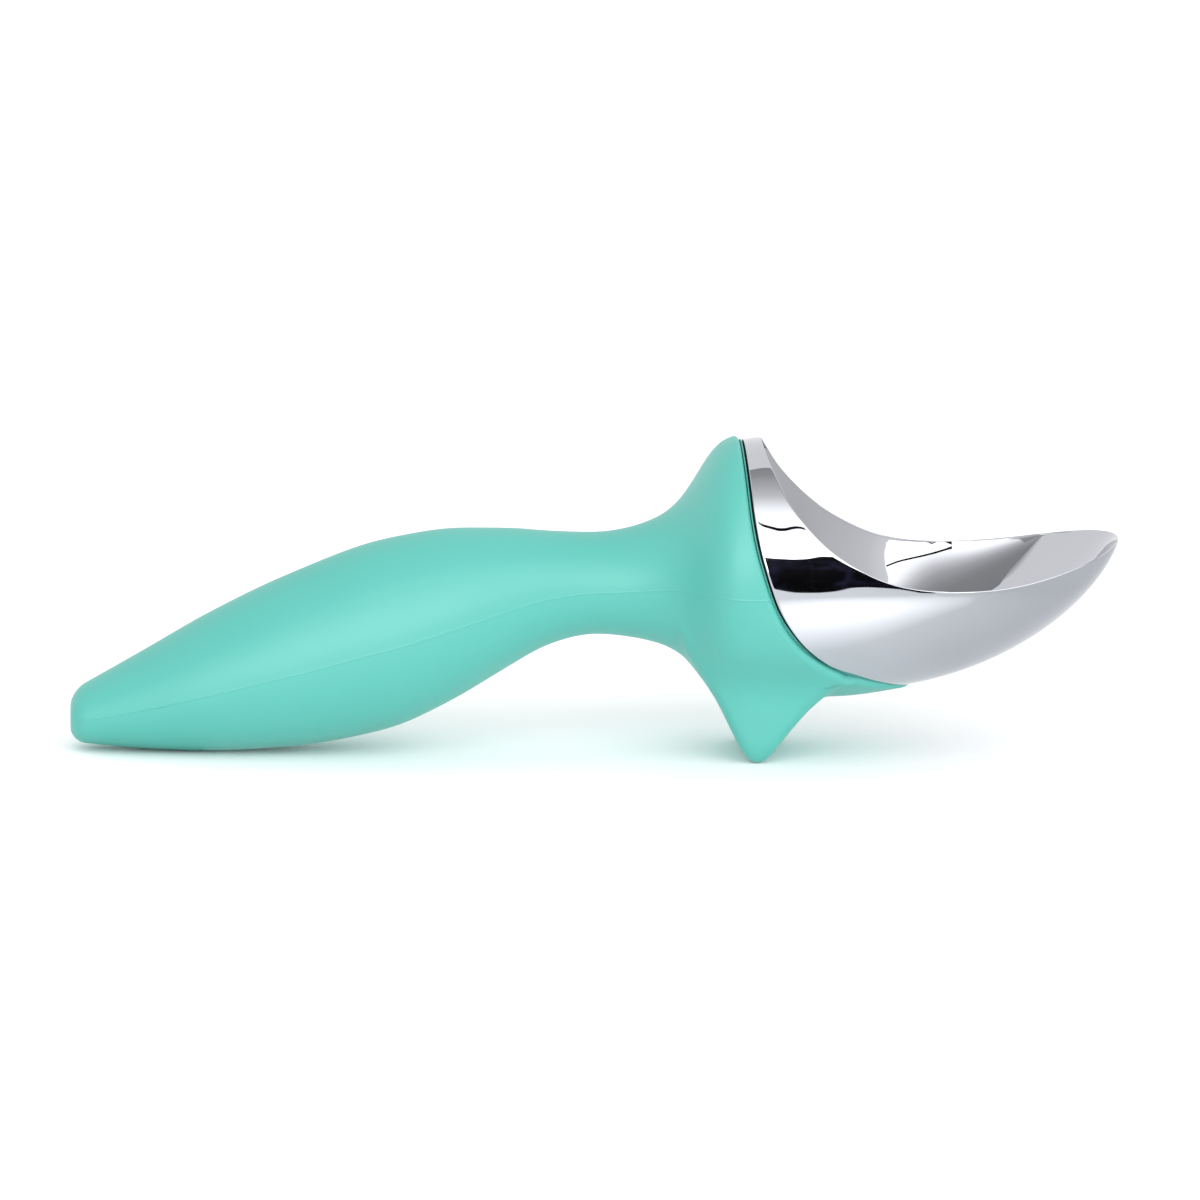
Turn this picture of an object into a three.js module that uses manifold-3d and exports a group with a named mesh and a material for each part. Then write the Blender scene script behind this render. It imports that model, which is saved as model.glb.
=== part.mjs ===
// Ice cream scoop with a tilt-up foot, in millimetres.
// +X runs from the grip to the tip of the bowl, +Z is up and the scoop is symmetric about Y = 0.
// It rests on the belly of the grip and on the foot, both at Z = 0.
import * as THREE from 'three';
import { mergeVertices } from 'three/addons/utils/BufferGeometryUtils.js';
import Module from 'manifold-3d';

// Bowl
const BOWL_RADIUS = 25.6;
const BOWL_AXIS_HEIGHT = 40.1;
const BOWL_STRAIGHT = 45.6;
const NOSE_LENGTH = 31.7;
const KEEL_DEPTH = 26.1;
const KEEL_STRAIGHT = 25.6;
const KEEL_EASE = 19;
const TIP_RISE = 5.2;
const TIP_EASE = 6.7;
const TIP_EASE_DROP = 17.8;
const MOUTH_START = 3.5;
const MOUTH_LOW = 5;
const MOUTH_DIP = 1.2;
const SPIGOT_DEPTH = 1.9;
const BACK_WALL = 4.6;
const LIP_WALL = 0.7;
const RIM_SLOPE = 0.38;
const FLARE_DEPTH = 13;
const TIP_FLARE_DEPTH = 2;
const CAVITY_CORNER = 10;
const CAVITY_TOP_CORNER = 0.6;

// Handle
const FLANGE_X = 30.4;
const FLANGE_PROUD = 0.5;
const FLARE_LENGTH = 30.4;
const GRIP_LENGTH = 107.7;
const GRIP_TOP = 46.6;
const GRIP_HALF_WIDTH = 16.5;
const NECK_TOP = 45.8;
const NECK_BOTTOM = 24.9;
const NECK_HALF_WIDTH = 10.5;
const END_TOP = 12;
const END_BOTTOM = 1.7;
const END_HALF_WIDTH = 6.4;
const END_ROUND = 3;
const TONGUE_REACH = 35.5;
const TONGUE_THICKNESS = 1.9;
const SEAM_BELOW_AXIS = 3;
const SHELL_WALL = 3;
const REST_FLAT_DEPTH = 0.3;

// Foot
const FOOT_FORWARD = 2.4;
const FOOT_FLAT = 3.4;
const FOOT_HALF_WIDTH = 13;
const FOOT_FRONT_HALF_WIDTH = 14;
const FOOT_BACK_HALF_WIDTH = 10;
const FOOT_BACK_REACH = 14;
const FOOT_FRONT_REACH = 14.7;
const FOOT_ROOT_RISE = 1.5;
const FOOT_SINK = 9;
const FOOT_TOE = 2;
const FOOT_EDGE_ROUND = 3;
const FOOT_SHIN_ALONG = 0.6;
const FOOT_SHIN_RISE = 0.66;

// Fixings and fits
const CLEARANCE = 0.3;
const REBATE = 1.2;
const SEAL_WIDTH = 0.8;
const SEAL_SINK = 0.3;
const TANG_RADIUS = 4;
const TANG_LENGTH = 78;
const TANG_SEAT = 3;
const BOSS_WALL = 3.2;
const BOSS_LENGTH = 9;
const BULKHEAD = 10;
const PIN_RADIUS = 1.5;
const PIN_INSET = 1.1;
const PIN_BACK = 52;
const DOWEL_RADIUS = 1.6;
const DOWEL_LENGTH = 10;
const DOWEL_BACK = 9.5;
const DOWEL_SPREAD = 13;
const REAR_DOWEL_INSET = 8;
const REAR_DOWEL_LENGTH = 7;

// Facets
const SIDES = 36;
const HOLLOW_SIDES = 56;
const ROUND_SIDES = 20;
const REACH = 200;
const TIP_POINT = 0.02;
const WELD = 1e-4;

const NECK_X = FLANGE_X - FLARE_LENGTH;
const REAR_X = NECK_X - GRIP_LENGTH;
const TONGUE_END_X = FLANGE_X + TONGUE_REACH;
const FOOT_X = FLANGE_X + FOOT_FORWARD;
const BOWL_BACK_X = FLANGE_X - SPIGOT_DEPTH;
const CAVITY_BACK_X = BOWL_BACK_X + BACK_WALL;
const KEEL_START_X = FLANGE_X + KEEL_STRAIGHT;
const NOSE_START_X = FLANGE_X + BOWL_STRAIGHT;
const TIP_X = NOSE_START_X + NOSE_LENGTH;
const MOUTH_LOW_X = NOSE_START_X - MOUTH_LOW;
const FLANGE_RADIUS = BOWL_RADIUS + FLANGE_PROUD;
const FLANGE_TOP = BOWL_AXIS_HEIGHT + FLANGE_RADIUS;
const TIP_HEIGHT = BOWL_AXIS_HEIGHT + TIP_RISE;
const KEEL_HEIGHT = BOWL_AXIS_HEIGHT - KEEL_DEPTH;
const TONGUE_HEIGHT = KEEL_HEIGHT - TONGUE_THICKNESS;

const { clamp, degToRad, lerp, smoothstep } = THREE.MathUtils;
const wasm = await Module();
wasm.setup();

// A closed three.js geometry as a solid that can be joined and cut.
function solid(geometry) {
  const bare = geometry.clone();
  bare.deleteAttribute('normal');
  bare.deleteAttribute('uv');
  const merged = mergeVertices(bare, WELD);
  const vertProperties = new Float32Array(merged.attributes.position.array);
  const triVerts = new Uint32Array(merged.index.array);
  return new wasm.Manifold(new wasm.Mesh({ numProp: 3, vertProperties, triVerts }));
}

function geometryOf(body) {
  const mesh = body.getMesh();
  const geometry = new THREE.BufferGeometry();
  geometry.setAttribute('position', new THREE.BufferAttribute(mesh.vertProperties, mesh.numProp));
  geometry.setIndex(new THREE.BufferAttribute(mesh.triVerts, 1));
  geometry.computeVertexNormals();
  return geometry;
}

// A smooth line through [x, value] points that never overshoots them.
function smoothLine(points) {
  const slopes = points.slice(1).map((p, i) => (p[1] - points[i][1]) / (p[0] - points[i][0]));
  const tangents = points.map((p, i) => {
    const before = slopes[Math.max(i - 1, 0)];
    const after = slopes[Math.min(i, slopes.length - 1)];
    return before * after <= 0 ? 0 : (2 * before * after) / (before + after);
  });
  return (x) => {
    const last = points.length - 2;
    const i = Math.min(Math.max(points.findIndex((p) => p[0] > x) - 1, 0), last);
    const k = x >= points[last + 1][0] ? last : i;
    const width = points[k + 1][0] - points[k][0];
    const t = clamp((x - points[k][0]) / width, 0, 1);
    const rise = points[k + 1][1] - points[k][1];
    const a = tangents[k] * width - rise;
    const b = rise - tangents[k + 1] * width;
    return points[k][1] + t * rise + t * (1 - t) * (a * (1 - t) + b * t);
  };
}

// How far a corner of the given radius draws in at a distance from the face it runs up to.
function cornerInset(distance, radius) {
  const short = Math.max(radius - distance, 0);
  return radius - Math.sqrt(Math.max(radius * radius - short * short, 0));
}

function evenly(start, end, steps) {
  return Array.from({ length: steps + 1 }, (unused, i) => start + ((end - start) * i) / steps);
}

function turns(sides) {
  return Array.from({ length: sides }, (unused, i) => (2 * Math.PI * i) / sides);
}

// A point of a round section at x, with its own height above and depth below the widest line.
function sectionPoint({ x, centre, half, up, down }, angle) {
  const rise = Math.sin(angle) * (Math.sin(angle) > 0 ? up : down);
  return new THREE.Vector3(x, half * Math.cos(angle), centre + rise);
}

function section(shape, sides) {
  return turns(sides).map((angle) => sectionPoint(shape, angle));
}

// A solid skinned over sections that all have the same number of points.
function loft(sections) {
  const sides = sections[0].length;
  const centres = [sections[0], sections[sections.length - 1]].map((ring) =>
    ring.reduce((sum, p) => sum.add(p), new THREE.Vector3()).divideScalar(sides));
  const points = [...sections.flat(), ...centres];
  const faces = [];
  const lastRing = (sections.length - 1) * sides;
  for (let i = 0; i < sides; i += 1) {
    const next = (i + 1) % sides;
    for (let ring = 0; ring < lastRing; ring += sides) {
      faces.push(ring + i, ring + next, ring + sides + next);
      faces.push(ring + i, ring + sides + next, ring + sides + i);
    }
    faces.push(points.length - 2, next, i);
    faces.push(points.length - 1, lastRing + i, lastRing + next);
  }
  const geometry = new THREE.BufferGeometry().setFromPoints(points);
  geometry.setIndex(faces);
  return solid(geometry);
}

// A side outline, given as [x, z] points, carried straight across the scoop.
function acrossY(outline) {
  const shape = new THREE.Shape(outline.map(([x, z]) => new THREE.Vector2(x, z)));
  const geometry = new THREE.ExtrudeGeometry(shape, { depth: REACH, bevelEnabled: false });
  geometry.rotateX(Math.PI / 2);
  geometry.translate(0, REACH / 2, 0);
  return geometry;
}

// A round bar between two points.
function bar(from, to, radius) {
  const along = to.clone().sub(from);
  const geometry = new THREE.CylinderGeometry(radius, radius, along.length(), ROUND_SIDES);
  geometry.applyQuaternion(
    new THREE.Quaternion().setFromUnitVectors(new THREE.Vector3(0, 1, 0), along.clone().normalize()));
  const middle = from.clone().add(to).divideScalar(2);
  geometry.translate(middle.x, middle.y, middle.z);
  return geometry;
}

// Handle lines: the grip swells behind the neck, and the neck flares out to the flange.
// Each pair below is a place along the stretch and the share of the change reached there.
function alongGrip(from, to, pairs) {
  return pairs.map(([along, share]) => [lerp(REAR_X, NECK_X, along), lerp(from, to, share)]);
}

function alongFlare(from, to) {
  const pairs = [[0, 0], [0.23, 0.05], [0.36, 0.114], [0.5, 0.22],
    [0.63, 0.44], [0.77, 0.82], [0.86, 0.96], [1, 1]];
  return pairs.map(([along, share]) => [lerp(NECK_X, FLANGE_X, along), lerp(from, to, share)]);
}

const topLine = smoothLine([
  ...alongGrip(END_TOP, GRIP_TOP,
    [[0, 0], [0.146, 0.263], [0.257, 0.468], [0.415, 0.714], [0.604, 0.934]]),
  ...alongGrip(GRIP_TOP, NECK_TOP, [[0.75, 0], [0.834, 0], [0.916, 0.75]]),
  ...alongFlare(NECK_TOP, FLANGE_TOP),
  [TONGUE_END_X, FLANGE_TOP],
]);
const bottomLine = smoothLine([
  ...alongGrip(END_BOTTOM, -REST_FLAT_DEPTH, [[0, 0], [0.146, 0.8], [0.257, 1]]),
  ...alongGrip(-REST_FLAT_DEPTH, NECK_BOTTOM,
    [[0.415, 0.036], [0.604, 0.19], [0.721, 0.42], [0.834, 0.718], [0.916, 0.917]]),
  ...alongFlare(NECK_BOTTOM, KEEL_HEIGHT - TONGUE_THICKNESS / 2),
  [FLANGE_X + TONGUE_REACH / 2, TONGUE_HEIGHT],
  [TONGUE_END_X, KEEL_HEIGHT],
]);
const halfLine = smoothLine([
  ...alongGrip(END_HALF_WIDTH, GRIP_HALF_WIDTH,
    [[0, 0], [0.146, 0.455], [0.257, 0.723], [0.415, 0.93], [0.604, 1]]),
  ...alongGrip(GRIP_HALF_WIDTH, NECK_HALF_WIDTH, [[0.721, 0.15], [0.834, 0.533], [0.916, 0.833]]),
  ...alongFlare(NECK_HALF_WIDTH, FLANGE_RADIUS),
  [TONGUE_END_X, FLANGE_RADIUS],
]);

function handleCentre(x) {
  const flared = smoothstep(x, NECK_X, FLANGE_X);
  return lerp((topLine(x) + bottomLine(x)) / 2, BOWL_AXIS_HEIGHT, flared);
}

function handleSection(x, inset) {
  const drawn = inset + cornerInset(x - REAR_X, END_ROUND);
  const centre = handleCentre(x);
  const up = topLine(x) - centre - drawn;
  return { x, centre, half: halfLine(x) - drawn, up, down: centre - bottomLine(x) - drawn };
}

function handleBody() {
  const corner = [0, 0.1, 0.35, 0.65].map((share) => REAR_X + share * END_ROUND);
  const grip = evenly(REAR_X + END_ROUND, NECK_X, 15);
  const flare = evenly(NECK_X, FLANGE_X, 12).slice(1);
  const cradle = evenly(FLANGE_X, TONGUE_END_X + TONGUE_THICKNESS, 6).slice(1);
  const stations = [...corner, ...grip, ...flare, ...cradle];
  return loft(stations.map((x) => section(handleSection(x, 0), SIDES)));
}

function handleInside(inset, start, end) {
  return loft(evenly(start, end, 12).map((x) => section(handleSection(x, inset), ROUND_SIDES)));
}

// The foot is a wedge under the flange. Each corner of its side outline has its own half width.
function footCorners() {
  const backX = FOOT_X - FOOT_BACK_REACH;
  const frontX = FOOT_X + FOOT_FRONT_REACH;
  const shinX = lerp(FOOT_X + FOOT_FLAT, frontX, FOOT_SHIN_ALONG);
  const rootZ = KEEL_HEIGHT + FOOT_ROOT_RISE;
  return [
    { x: FOOT_X + FOOT_FLAT / 2, z: 0, half: FOOT_HALF_WIDTH },
    { x: FOOT_X + FOOT_FLAT, z: FOOT_TOE, half: FOOT_HALF_WIDTH },
    { x: shinX, z: FOOT_SHIN_RISE * rootZ, half: FOOT_FRONT_HALF_WIDTH },
    { x: frontX, z: rootZ, half: FOOT_FRONT_HALF_WIDTH },
    { x: frontX, z: rootZ + FOOT_SINK, half: FOOT_FRONT_HALF_WIDTH },
    { x: FOOT_X - FOOT_BACK_REACH / 2, z: bottomLine(backX) + FOOT_SINK, half: FOOT_FRONT_HALF_WIDTH },
    { x: backX, z: bottomLine(backX) + FOOT_TOE, half: FOOT_BACK_HALF_WIDTH },
    { x: FOOT_X - FOOT_FLAT, z: FOOT_TOE, half: FOOT_HALF_WIDTH },
    { x: FOOT_X - FOOT_FLAT / 2, z: 0, half: FOOT_HALF_WIDTH },
  ];
}

// The outline at one place across the foot, drawn in where the side edges are rounded off.
function footLayer(corners, side, flank, inset) {
  return corners.map((corner, i) => {
    const before = corners[(i + corners.length - 1) % corners.length];
    const after = corners[(i + 1) % corners.length];
    const along = new THREE.Vector2(after.x - before.x, after.z - before.z).normalize();
    const y = side * (corner.half - FOOT_EDGE_ROUND + flank);
    return new THREE.Vector3(corner.x - along.y * inset, y, corner.z + along.x * inset);
  });
}

function foot() {
  const corners = footCorners();
  const rounding = [0, 30, 60, 90].map((degrees) => {
    const turn = degToRad(degrees);
    return [FOOT_EDGE_ROUND * Math.cos(turn), FOOT_EDGE_ROUND * (1 - Math.sin(turn))];
  });
  const near = rounding.map(([flank, inset]) => footLayer(corners, 1, flank, inset));
  const far = rounding.map(([flank, inset]) => footLayer(corners, -1, flank, inset)).reverse();
  return loft([...near, ...far]);
}

// Bowl lines: round behind, drawn out to a rising tip in front.
function keel(inset) {
  return new THREE.CubicBezierCurve(
    new THREE.Vector2(KEEL_START_X, KEEL_HEIGHT + inset),
    new THREE.Vector2(KEEL_START_X + KEEL_EASE, KEEL_HEIGHT + inset),
    new THREE.Vector2(TIP_X - TIP_EASE - inset, TIP_HEIGHT - TIP_EASE_DROP + inset / 2),
    new THREE.Vector2(TIP_X - inset, TIP_HEIGHT),
  );
}

function bowlSection([x, floor], inset) {
  const along = clamp((x - NOSE_START_X) / (NOSE_LENGTH - inset), 0, 1);
  const centre = BOWL_AXIS_HEIGHT + TIP_RISE * along * along;
  const half = Math.max((BOWL_RADIUS - inset) * Math.sqrt(1 - along * along), TIP_POINT);
  return { x, centre, half, up: half, down: Math.max(centre - floor, TIP_POINT) };
}

const noseSteps = [0, 0.1, 0.2, 0.3, 0.4, 0.5, 0.6, 0.7, 0.78, 0.85, 0.91, 0.96, 0.985, 0.997, 1];

function noseFloor(inset) {
  return noseSteps.map((t) => keel(inset).getPoint(t).toArray());
}

function bowlBody(inset, startX) {
  const floor = [[startX, KEEL_HEIGHT + inset], ...noseFloor(inset)];
  return loft(floor.map((place) => section(bowlSection(place, inset), SIDES)));
}

// Side curves: the front edge of the handle, and the mouth of the bowl.
function edgeCurve() {
  const shape = [[-0.037, 1.2], [-0.031, 1], [-0.018, 0.81], [0.006, 0.51], [0.042, 0.257],
    [0.101, -0.015], [0.158, -0.222], [0.242, -0.44], [0.361, -0.628], [0.524, -0.797],
    [0.7, -0.905], [0.88, -0.968], [1.1, -1.1]];
  return new THREE.SplineCurve(shape.map(([reach, rise]) => new THREE.Vector2(
    FLANGE_X + reach * TONGUE_REACH, BOWL_AXIS_HEIGHT + rise * FLANGE_RADIUS)));
}

function inFrontOfEdge(distance) {
  const curve = edgeCurve();
  const edge = evenly(0, 1, 36).map((t) => {
    const forward = curve.getTangent(t);
    const point = curve.getPoint(t);
    return [point.x - forward.y * distance, point.y + forward.x * distance];
  });
  const low = edge[edge.length - 1][1];
  const outline = [...edge, [REACH, low], [REACH, REACH], [edge[0][0], REACH]];
  return solid(acrossY(outline));
}

function mouthLine(steps) {
  const low = BOWL_AXIS_HEIGHT - MOUTH_DIP;
  const rise = BOWL_RADIUS + MOUTH_DIP;
  const backX = FLANGE_X + MOUTH_START;
  const sweep = [[-0.04, 1.12], [-0.005, 0.99], [0.04, 0.85], [0.116, 0.657], [0.224, 0.474],
    [0.34, 0.32], [0.474, 0.194], [0.636, 0.086], [0.8, 0.025]]
    .map(([along, share]) => [lerp(backX, MOUTH_LOW_X, along), low + share * rise]);
  const nose = [[0, 0], [0.32, 0.1], [0.63, 0.43], [1, 1], [1.1, 1.25]]
    .map(([along, share]) => [lerp(MOUTH_LOW_X, TIP_X, along), low + share * (TIP_HEIGHT - low)]);
  const points = [...sweep, ...nose].map(([x, z]) => new THREE.Vector2(x, z));
  return new THREE.SplineCurve(points).getPoints(steps);
}

function aboveMouth() {
  const line = mouthLine(40).map((point) => point.toArray());
  return solid(acrossY([...line, [line[line.length - 1][0], REACH], [line[0][0], REACH]]));
}

// The hollow of the bowl is rounded at the back. Its wall is thin at the lip and flares inwards below it,
// less and less, down to a depth that gets smaller towards the tip.
const mouth = mouthLine(240);
const flareDepth = smoothLine([[MOUTH_LOW_X, FLARE_DEPTH], [TIP_X, TIP_FLARE_DEPTH]]);

// The shortest way from a point of the side view to the mouth, negative for a point above it.
function depthBelowMouth(point) {
  const over = mouth.find((place) => place.x >= point.x);
  const way = Math.min(...mouth.map((place) => place.distanceTo(point)));
  return point.y < over.y ? way : -way;
}

function wallBehind(outside) {
  const flare = flareDepth(outside.x);
  const depth = Math.min(depthBelowMouth(new THREE.Vector2(outside.x, outside.z)), flare);
  const wall = LIP_WALL + RIM_SLOPE * depth * (1 - depth / (2 * flare));
  return Math.max(wall, LIP_WALL / 3);
}

// A point of the hollow, at a place that gives its x and floor height for a wall of any thickness.
function hollowPoint(place, angle) {
  const outside = sectionPoint(bowlSection(place(0), 0), angle);
  const wall = wallBehind(outside);
  const upright = smoothstep(Math.asin(Math.sin(angle)), degToRad(15), degToRad(80));
  const corner = lerp(CAVITY_CORNER, CAVITY_TOP_CORNER, upright);
  const drawn = cornerInset(outside.x - CAVITY_BACK_X, corner);
  const { x, centre, half, up, down } = bowlSection(place(wall), wall);
  return sectionPoint({ x, centre, half: half - drawn, up: up - drawn, down: down - drawn }, angle);
}

function bowlHollow() {
  const cornerEnd = CAVITY_BACK_X + CAVITY_CORNER;
  const corner = [0, 0.04, 0.14, 0.3, 0.55].map((share) => lerp(CAVITY_BACK_X, cornerEnd, share));
  const straight = [...corner, ...evenly(cornerEnd, KEEL_START_X, 3).slice(0, -1)];
  const places = [
    ...straight.map((x) => (wall) => [x, KEEL_HEIGHT + wall]),
    ...noseSteps.map((t) => (wall) => keel(wall).getPoint(t).toArray()),
  ];
  return loft(places.map((place) => turns(HOLLOW_SIDES).map((angle) => hollowPoint(place, angle))));
}

// The parting line between the two shells follows the middle of the handle.
function partingHeight(x) {
  return handleCentre(x) - SEAM_BELOW_AXIS * smoothstep(x, NECK_X, FLANGE_X);
}

function belowParting(shift) {
  const line = evenly(REAR_X, TONGUE_END_X, 40).map((x) => [x, partingHeight(x) + shift]);
  const start = [REAR_X - END_ROUND, line[0][1]];
  const end = [REACH, line[line.length - 1][1]];
  return solid(acrossY([[start[0], -REACH], [REACH, -REACH], end, ...line.reverse(), start]));
}

// Tang and its fixings, along one tilted axis from the back of the bowl through the middle of the neck.
const tangFront = new THREE.Vector3(CAVITY_BACK_X - TANG_SEAT, 0, BOWL_AXIS_HEIGHT);
const neckMiddle = new THREE.Vector3(NECK_X, 0, handleCentre(NECK_X));
const tangBackward = neckMiddle.clone().sub(tangFront).normalize();
const bossRadius = TANG_RADIUS + CLEARANCE + BOSS_WALL;
const bossEnd = BOSS_LENGTH + TANG_SEAT;

function alongTang(distance) {
  return tangFront.clone().addScaledVector(tangBackward, distance);
}

function tangBar(radius, start, end) {
  return bar(alongTang(start), alongTang(end), radius);
}

const coreRearX = REAR_X + REAR_DOWEL_INSET + DOWEL_RADIUS + CLEARANCE + SHELL_WALL;
const coreFrontX = alongTang(bossEnd).x - BULKHEAD;
const pinMiddle = alongTang(PIN_BACK);
const pinHalf = halfLine(pinMiddle.x) - SHELL_WALL - CLEARANCE - PIN_INSET;

function pinBar(radius, half) {
  const across = new THREE.Vector3(0, half, 0);
  return bar(pinMiddle.clone().sub(across), pinMiddle.clone().add(across), radius);
}

const dowelPlaces = {
  dowel_left: { x: FLANGE_X - DOWEL_BACK, y: DOWEL_SPREAD, length: DOWEL_LENGTH },
  dowel_right: { x: FLANGE_X - DOWEL_BACK, y: -DOWEL_SPREAD, length: DOWEL_LENGTH },
  rear_dowel: { x: REAR_X + REAR_DOWEL_INSET, y: 0, length: REAR_DOWEL_LENGTH },
};

function dowelBar({ x, y, length }, extra) {
  const middle = partingHeight(x);
  const half = length / 2 + extra;
  const low = new THREE.Vector3(x, y, middle - half);
  return bar(low, new THREE.Vector3(x, y, middle + half), DOWEL_RADIUS + extra);
}

// Pieces
function bowl() {
  const lipStart = CLEARANCE + SEAL_WIDTH + CLEARANCE;
  return bowlBody(0, BOWL_BACK_X)
    .intersect(inFrontOfEdge(lipStart))
    .add(bowlBody(REBATE, BOWL_BACK_X))
    .add(solid(tangBar(bossRadius, TANG_SEAT / 2, bossEnd)))
    .subtract(bowlHollow())
    .subtract(aboveMouth())
    .subtract(solid(tangBar(TANG_RADIUS + CLEARANCE, -CLEARANCE, bossEnd + TANG_RADIUS)));
}

function rimSeal() {
  return bowlBody(SEAL_SINK, BOWL_BACK_X)
    .subtract(bowlBody(REBATE - CLEARANCE, BOWL_BACK_X - SPIGOT_DEPTH))
    .intersect(inFrontOfEdge(CLEARANCE))
    .subtract(inFrontOfEdge(CLEARANCE + SEAL_WIDTH));
}

function handleShells() {
  const table = new THREE.BoxGeometry(2 * REACH, REACH, REACH).translate(0, 0, -REACH / 2);
  let body = handleBody()
    .add(foot())
    .subtract(solid(table))
    .subtract(inFrontOfEdge(0))
    .subtract(bowlBody(REBATE - CLEARANCE, BOWL_BACK_X - CLEARANCE))
    .subtract(handleInside(SHELL_WALL, coreRearX, coreFrontX + CLEARANCE))
    .subtract(solid(tangBar(bossRadius + CLEARANCE, 0, bossEnd + CLEARANCE)))
    .subtract(solid(tangBar(TANG_RADIUS + CLEARANCE, 0, bossEnd + BULKHEAD + TANG_RADIUS)));
  for (const place of Object.values(dowelPlaces)) {
    body = body.subtract(solid(dowelBar(place, CLEARANCE)));
  }
  return {
    lower: body.intersect(belowParting(-CLEARANCE / 2)),
    upper: body.subtract(belowParting(CLEARANCE / 2)),
  };
}

function handleCore() {
  return handleInside(SHELL_WALL + CLEARANCE, coreRearX + CLEARANCE, coreFrontX)
    .subtract(solid(tangBar(TANG_RADIUS + CLEARANCE, 0, TANG_LENGTH + CLEARANCE)))
    .subtract(solid(pinBar(PIN_RADIUS + CLEARANCE, REACH)));
}

function tangRod() {
  return solid(tangBar(TANG_RADIUS, 0, TANG_LENGTH))
    .subtract(solid(pinBar(PIN_RADIUS + CLEARANCE, REACH)));
}

// Finishes
const finish = {
  nylon: { color: 0x5cc9b4, roughness: 0.5, metalness: 0 },
  seal: { color: 0x3fa491, roughness: 0.6, metalness: 0 },
  core: { color: 0x4aa898, roughness: 0.65, metalness: 0 },
  chrome: { color: 0xd9dadd, roughness: 0.05, metalness: 1 },
  steel: { color: 0x9a9da1, roughness: 0.35, metalness: 1 },
};

const scoop = new THREE.Group();

function piece(name, look, body) {
  const mesh = new THREE.Mesh(geometryOf(body), new THREE.MeshStandardMaterial(finish[look]));
  mesh.name = name;
  scoop.add(mesh);
}

const shells = handleShells();
piece('scoop_bowl', 'chrome', bowl());
piece('rim_seal', 'seal', rimSeal());
piece('upper_shell', 'nylon', shells.upper);
piece('lower_shell', 'nylon', shells.lower);
piece('handle_core', 'core', handleCore());
piece('tang_rod', 'steel', tangRod());
piece('tang_pin', 'steel', solid(pinBar(PIN_RADIUS, pinHalf)));
for (const [name, place] of Object.entries(dowelPlaces)) {
  piece(name, 'steel', solid(dowelBar(place, 0)));
}

export default scoop;
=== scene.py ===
# %% [markdown]
# # Ice cream scoop with a tilt-up foot
# A polished metal bowl sits in a moulded mint green handle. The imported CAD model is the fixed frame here:
# it says where every piece is, in metres, and the scene dresses it without moving anything. The shapes
# are written in millimetres, because that is how a scoop is drawn, and turned into metres when a mesh is
# made.

# %% Load the frame
import math

import bmesh
import bpy
import numpy as np
from mathutils import Matrix, Vector


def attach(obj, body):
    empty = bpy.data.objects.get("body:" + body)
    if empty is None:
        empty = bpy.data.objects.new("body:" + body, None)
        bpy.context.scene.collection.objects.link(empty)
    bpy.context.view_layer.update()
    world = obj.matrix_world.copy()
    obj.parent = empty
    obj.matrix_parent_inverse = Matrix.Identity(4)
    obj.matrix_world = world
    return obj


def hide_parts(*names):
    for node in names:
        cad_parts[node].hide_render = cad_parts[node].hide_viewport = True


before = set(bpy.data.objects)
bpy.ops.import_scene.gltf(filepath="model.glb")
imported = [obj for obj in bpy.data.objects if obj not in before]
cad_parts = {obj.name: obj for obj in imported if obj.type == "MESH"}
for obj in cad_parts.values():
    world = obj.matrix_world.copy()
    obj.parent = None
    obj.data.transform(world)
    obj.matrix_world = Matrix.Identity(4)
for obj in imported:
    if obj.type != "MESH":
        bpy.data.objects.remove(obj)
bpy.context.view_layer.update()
scene = bpy.context.scene
MM = 0.001
print("CAD nodes:", sorted(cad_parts))

# %% [markdown]
# ## Camera
# The photograph looks almost straight at the side, from a little above and a little towards the grip, and
# it is tipped by less than a degree. A long lens from far away keeps the sides parallel, as in the
# photograph. The direction is built from two angles, and the camera is aimed so that the scoop lands
# where it should, which leaves the lens shift at zero.

# %% Camera
LOOK_DOWN = math.radians(12)
LOOK_ASIDE = math.radians(3)
CAMERA_ROLL = math.radians(0.85)
CAMERA_DISTANCE = 4.0
SENSOR_WIDTH = 36
VIEW_END = 20
FRAME_WIDTH = 0.2474
AIM_ASIDE = 1.5 * MM
AIM_UP = 31.0 * MM


def make_camera():
    forward = Vector((
        math.sin(LOOK_ASIDE) * math.cos(LOOK_DOWN),
        math.cos(LOOK_ASIDE) * math.cos(LOOK_DOWN),
        -math.sin(LOOK_DOWN),
    ))
    level = Vector((math.cos(LOOK_ASIDE), -math.sin(LOOK_ASIDE), 0))
    upright = level.cross(forward)
    right = level * math.cos(CAMERA_ROLL) + upright * math.sin(CAMERA_ROLL)
    up = upright * math.cos(CAMERA_ROLL) - level * math.sin(CAMERA_ROLL)
    data = bpy.data.cameras.new("camera")
    data.sensor_width = SENSOR_WIDTH
    data.lens = SENSOR_WIDTH * CAMERA_DISTANCE / FRAME_WIDTH
    data.clip_end = VIEW_END
    camera = bpy.data.objects.new("camera", data)
    turn = Matrix((right, up, -forward)).transposed().to_4x4()
    aim = right * AIM_ASIDE + up * AIM_UP
    camera.matrix_world = Matrix.Translation(aim - forward * CAMERA_DISTANCE) @ turn
    scene.collection.objects.link(camera)
    scene.camera = camera
    return data.lens


print("camera lens in mm:", round(make_camera(), 1))

# %% [markdown]
# ## Meshes from rows of points
# Every form of this scoop is a sheet of points that runs along it and around it. A sheet is a numpy array
# of rows, so neighbouring rows can be joined by four-sided faces. Points that fall together, such as
# those at the tip of the bowl, are merged at the end, and the faces are turned outwards. A piece can have
# two finishes: the faces from the number second_finish on get the second one.

# %% Sheets of points
MERGE = 1.5e-6
SHARP = math.radians(40)


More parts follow.
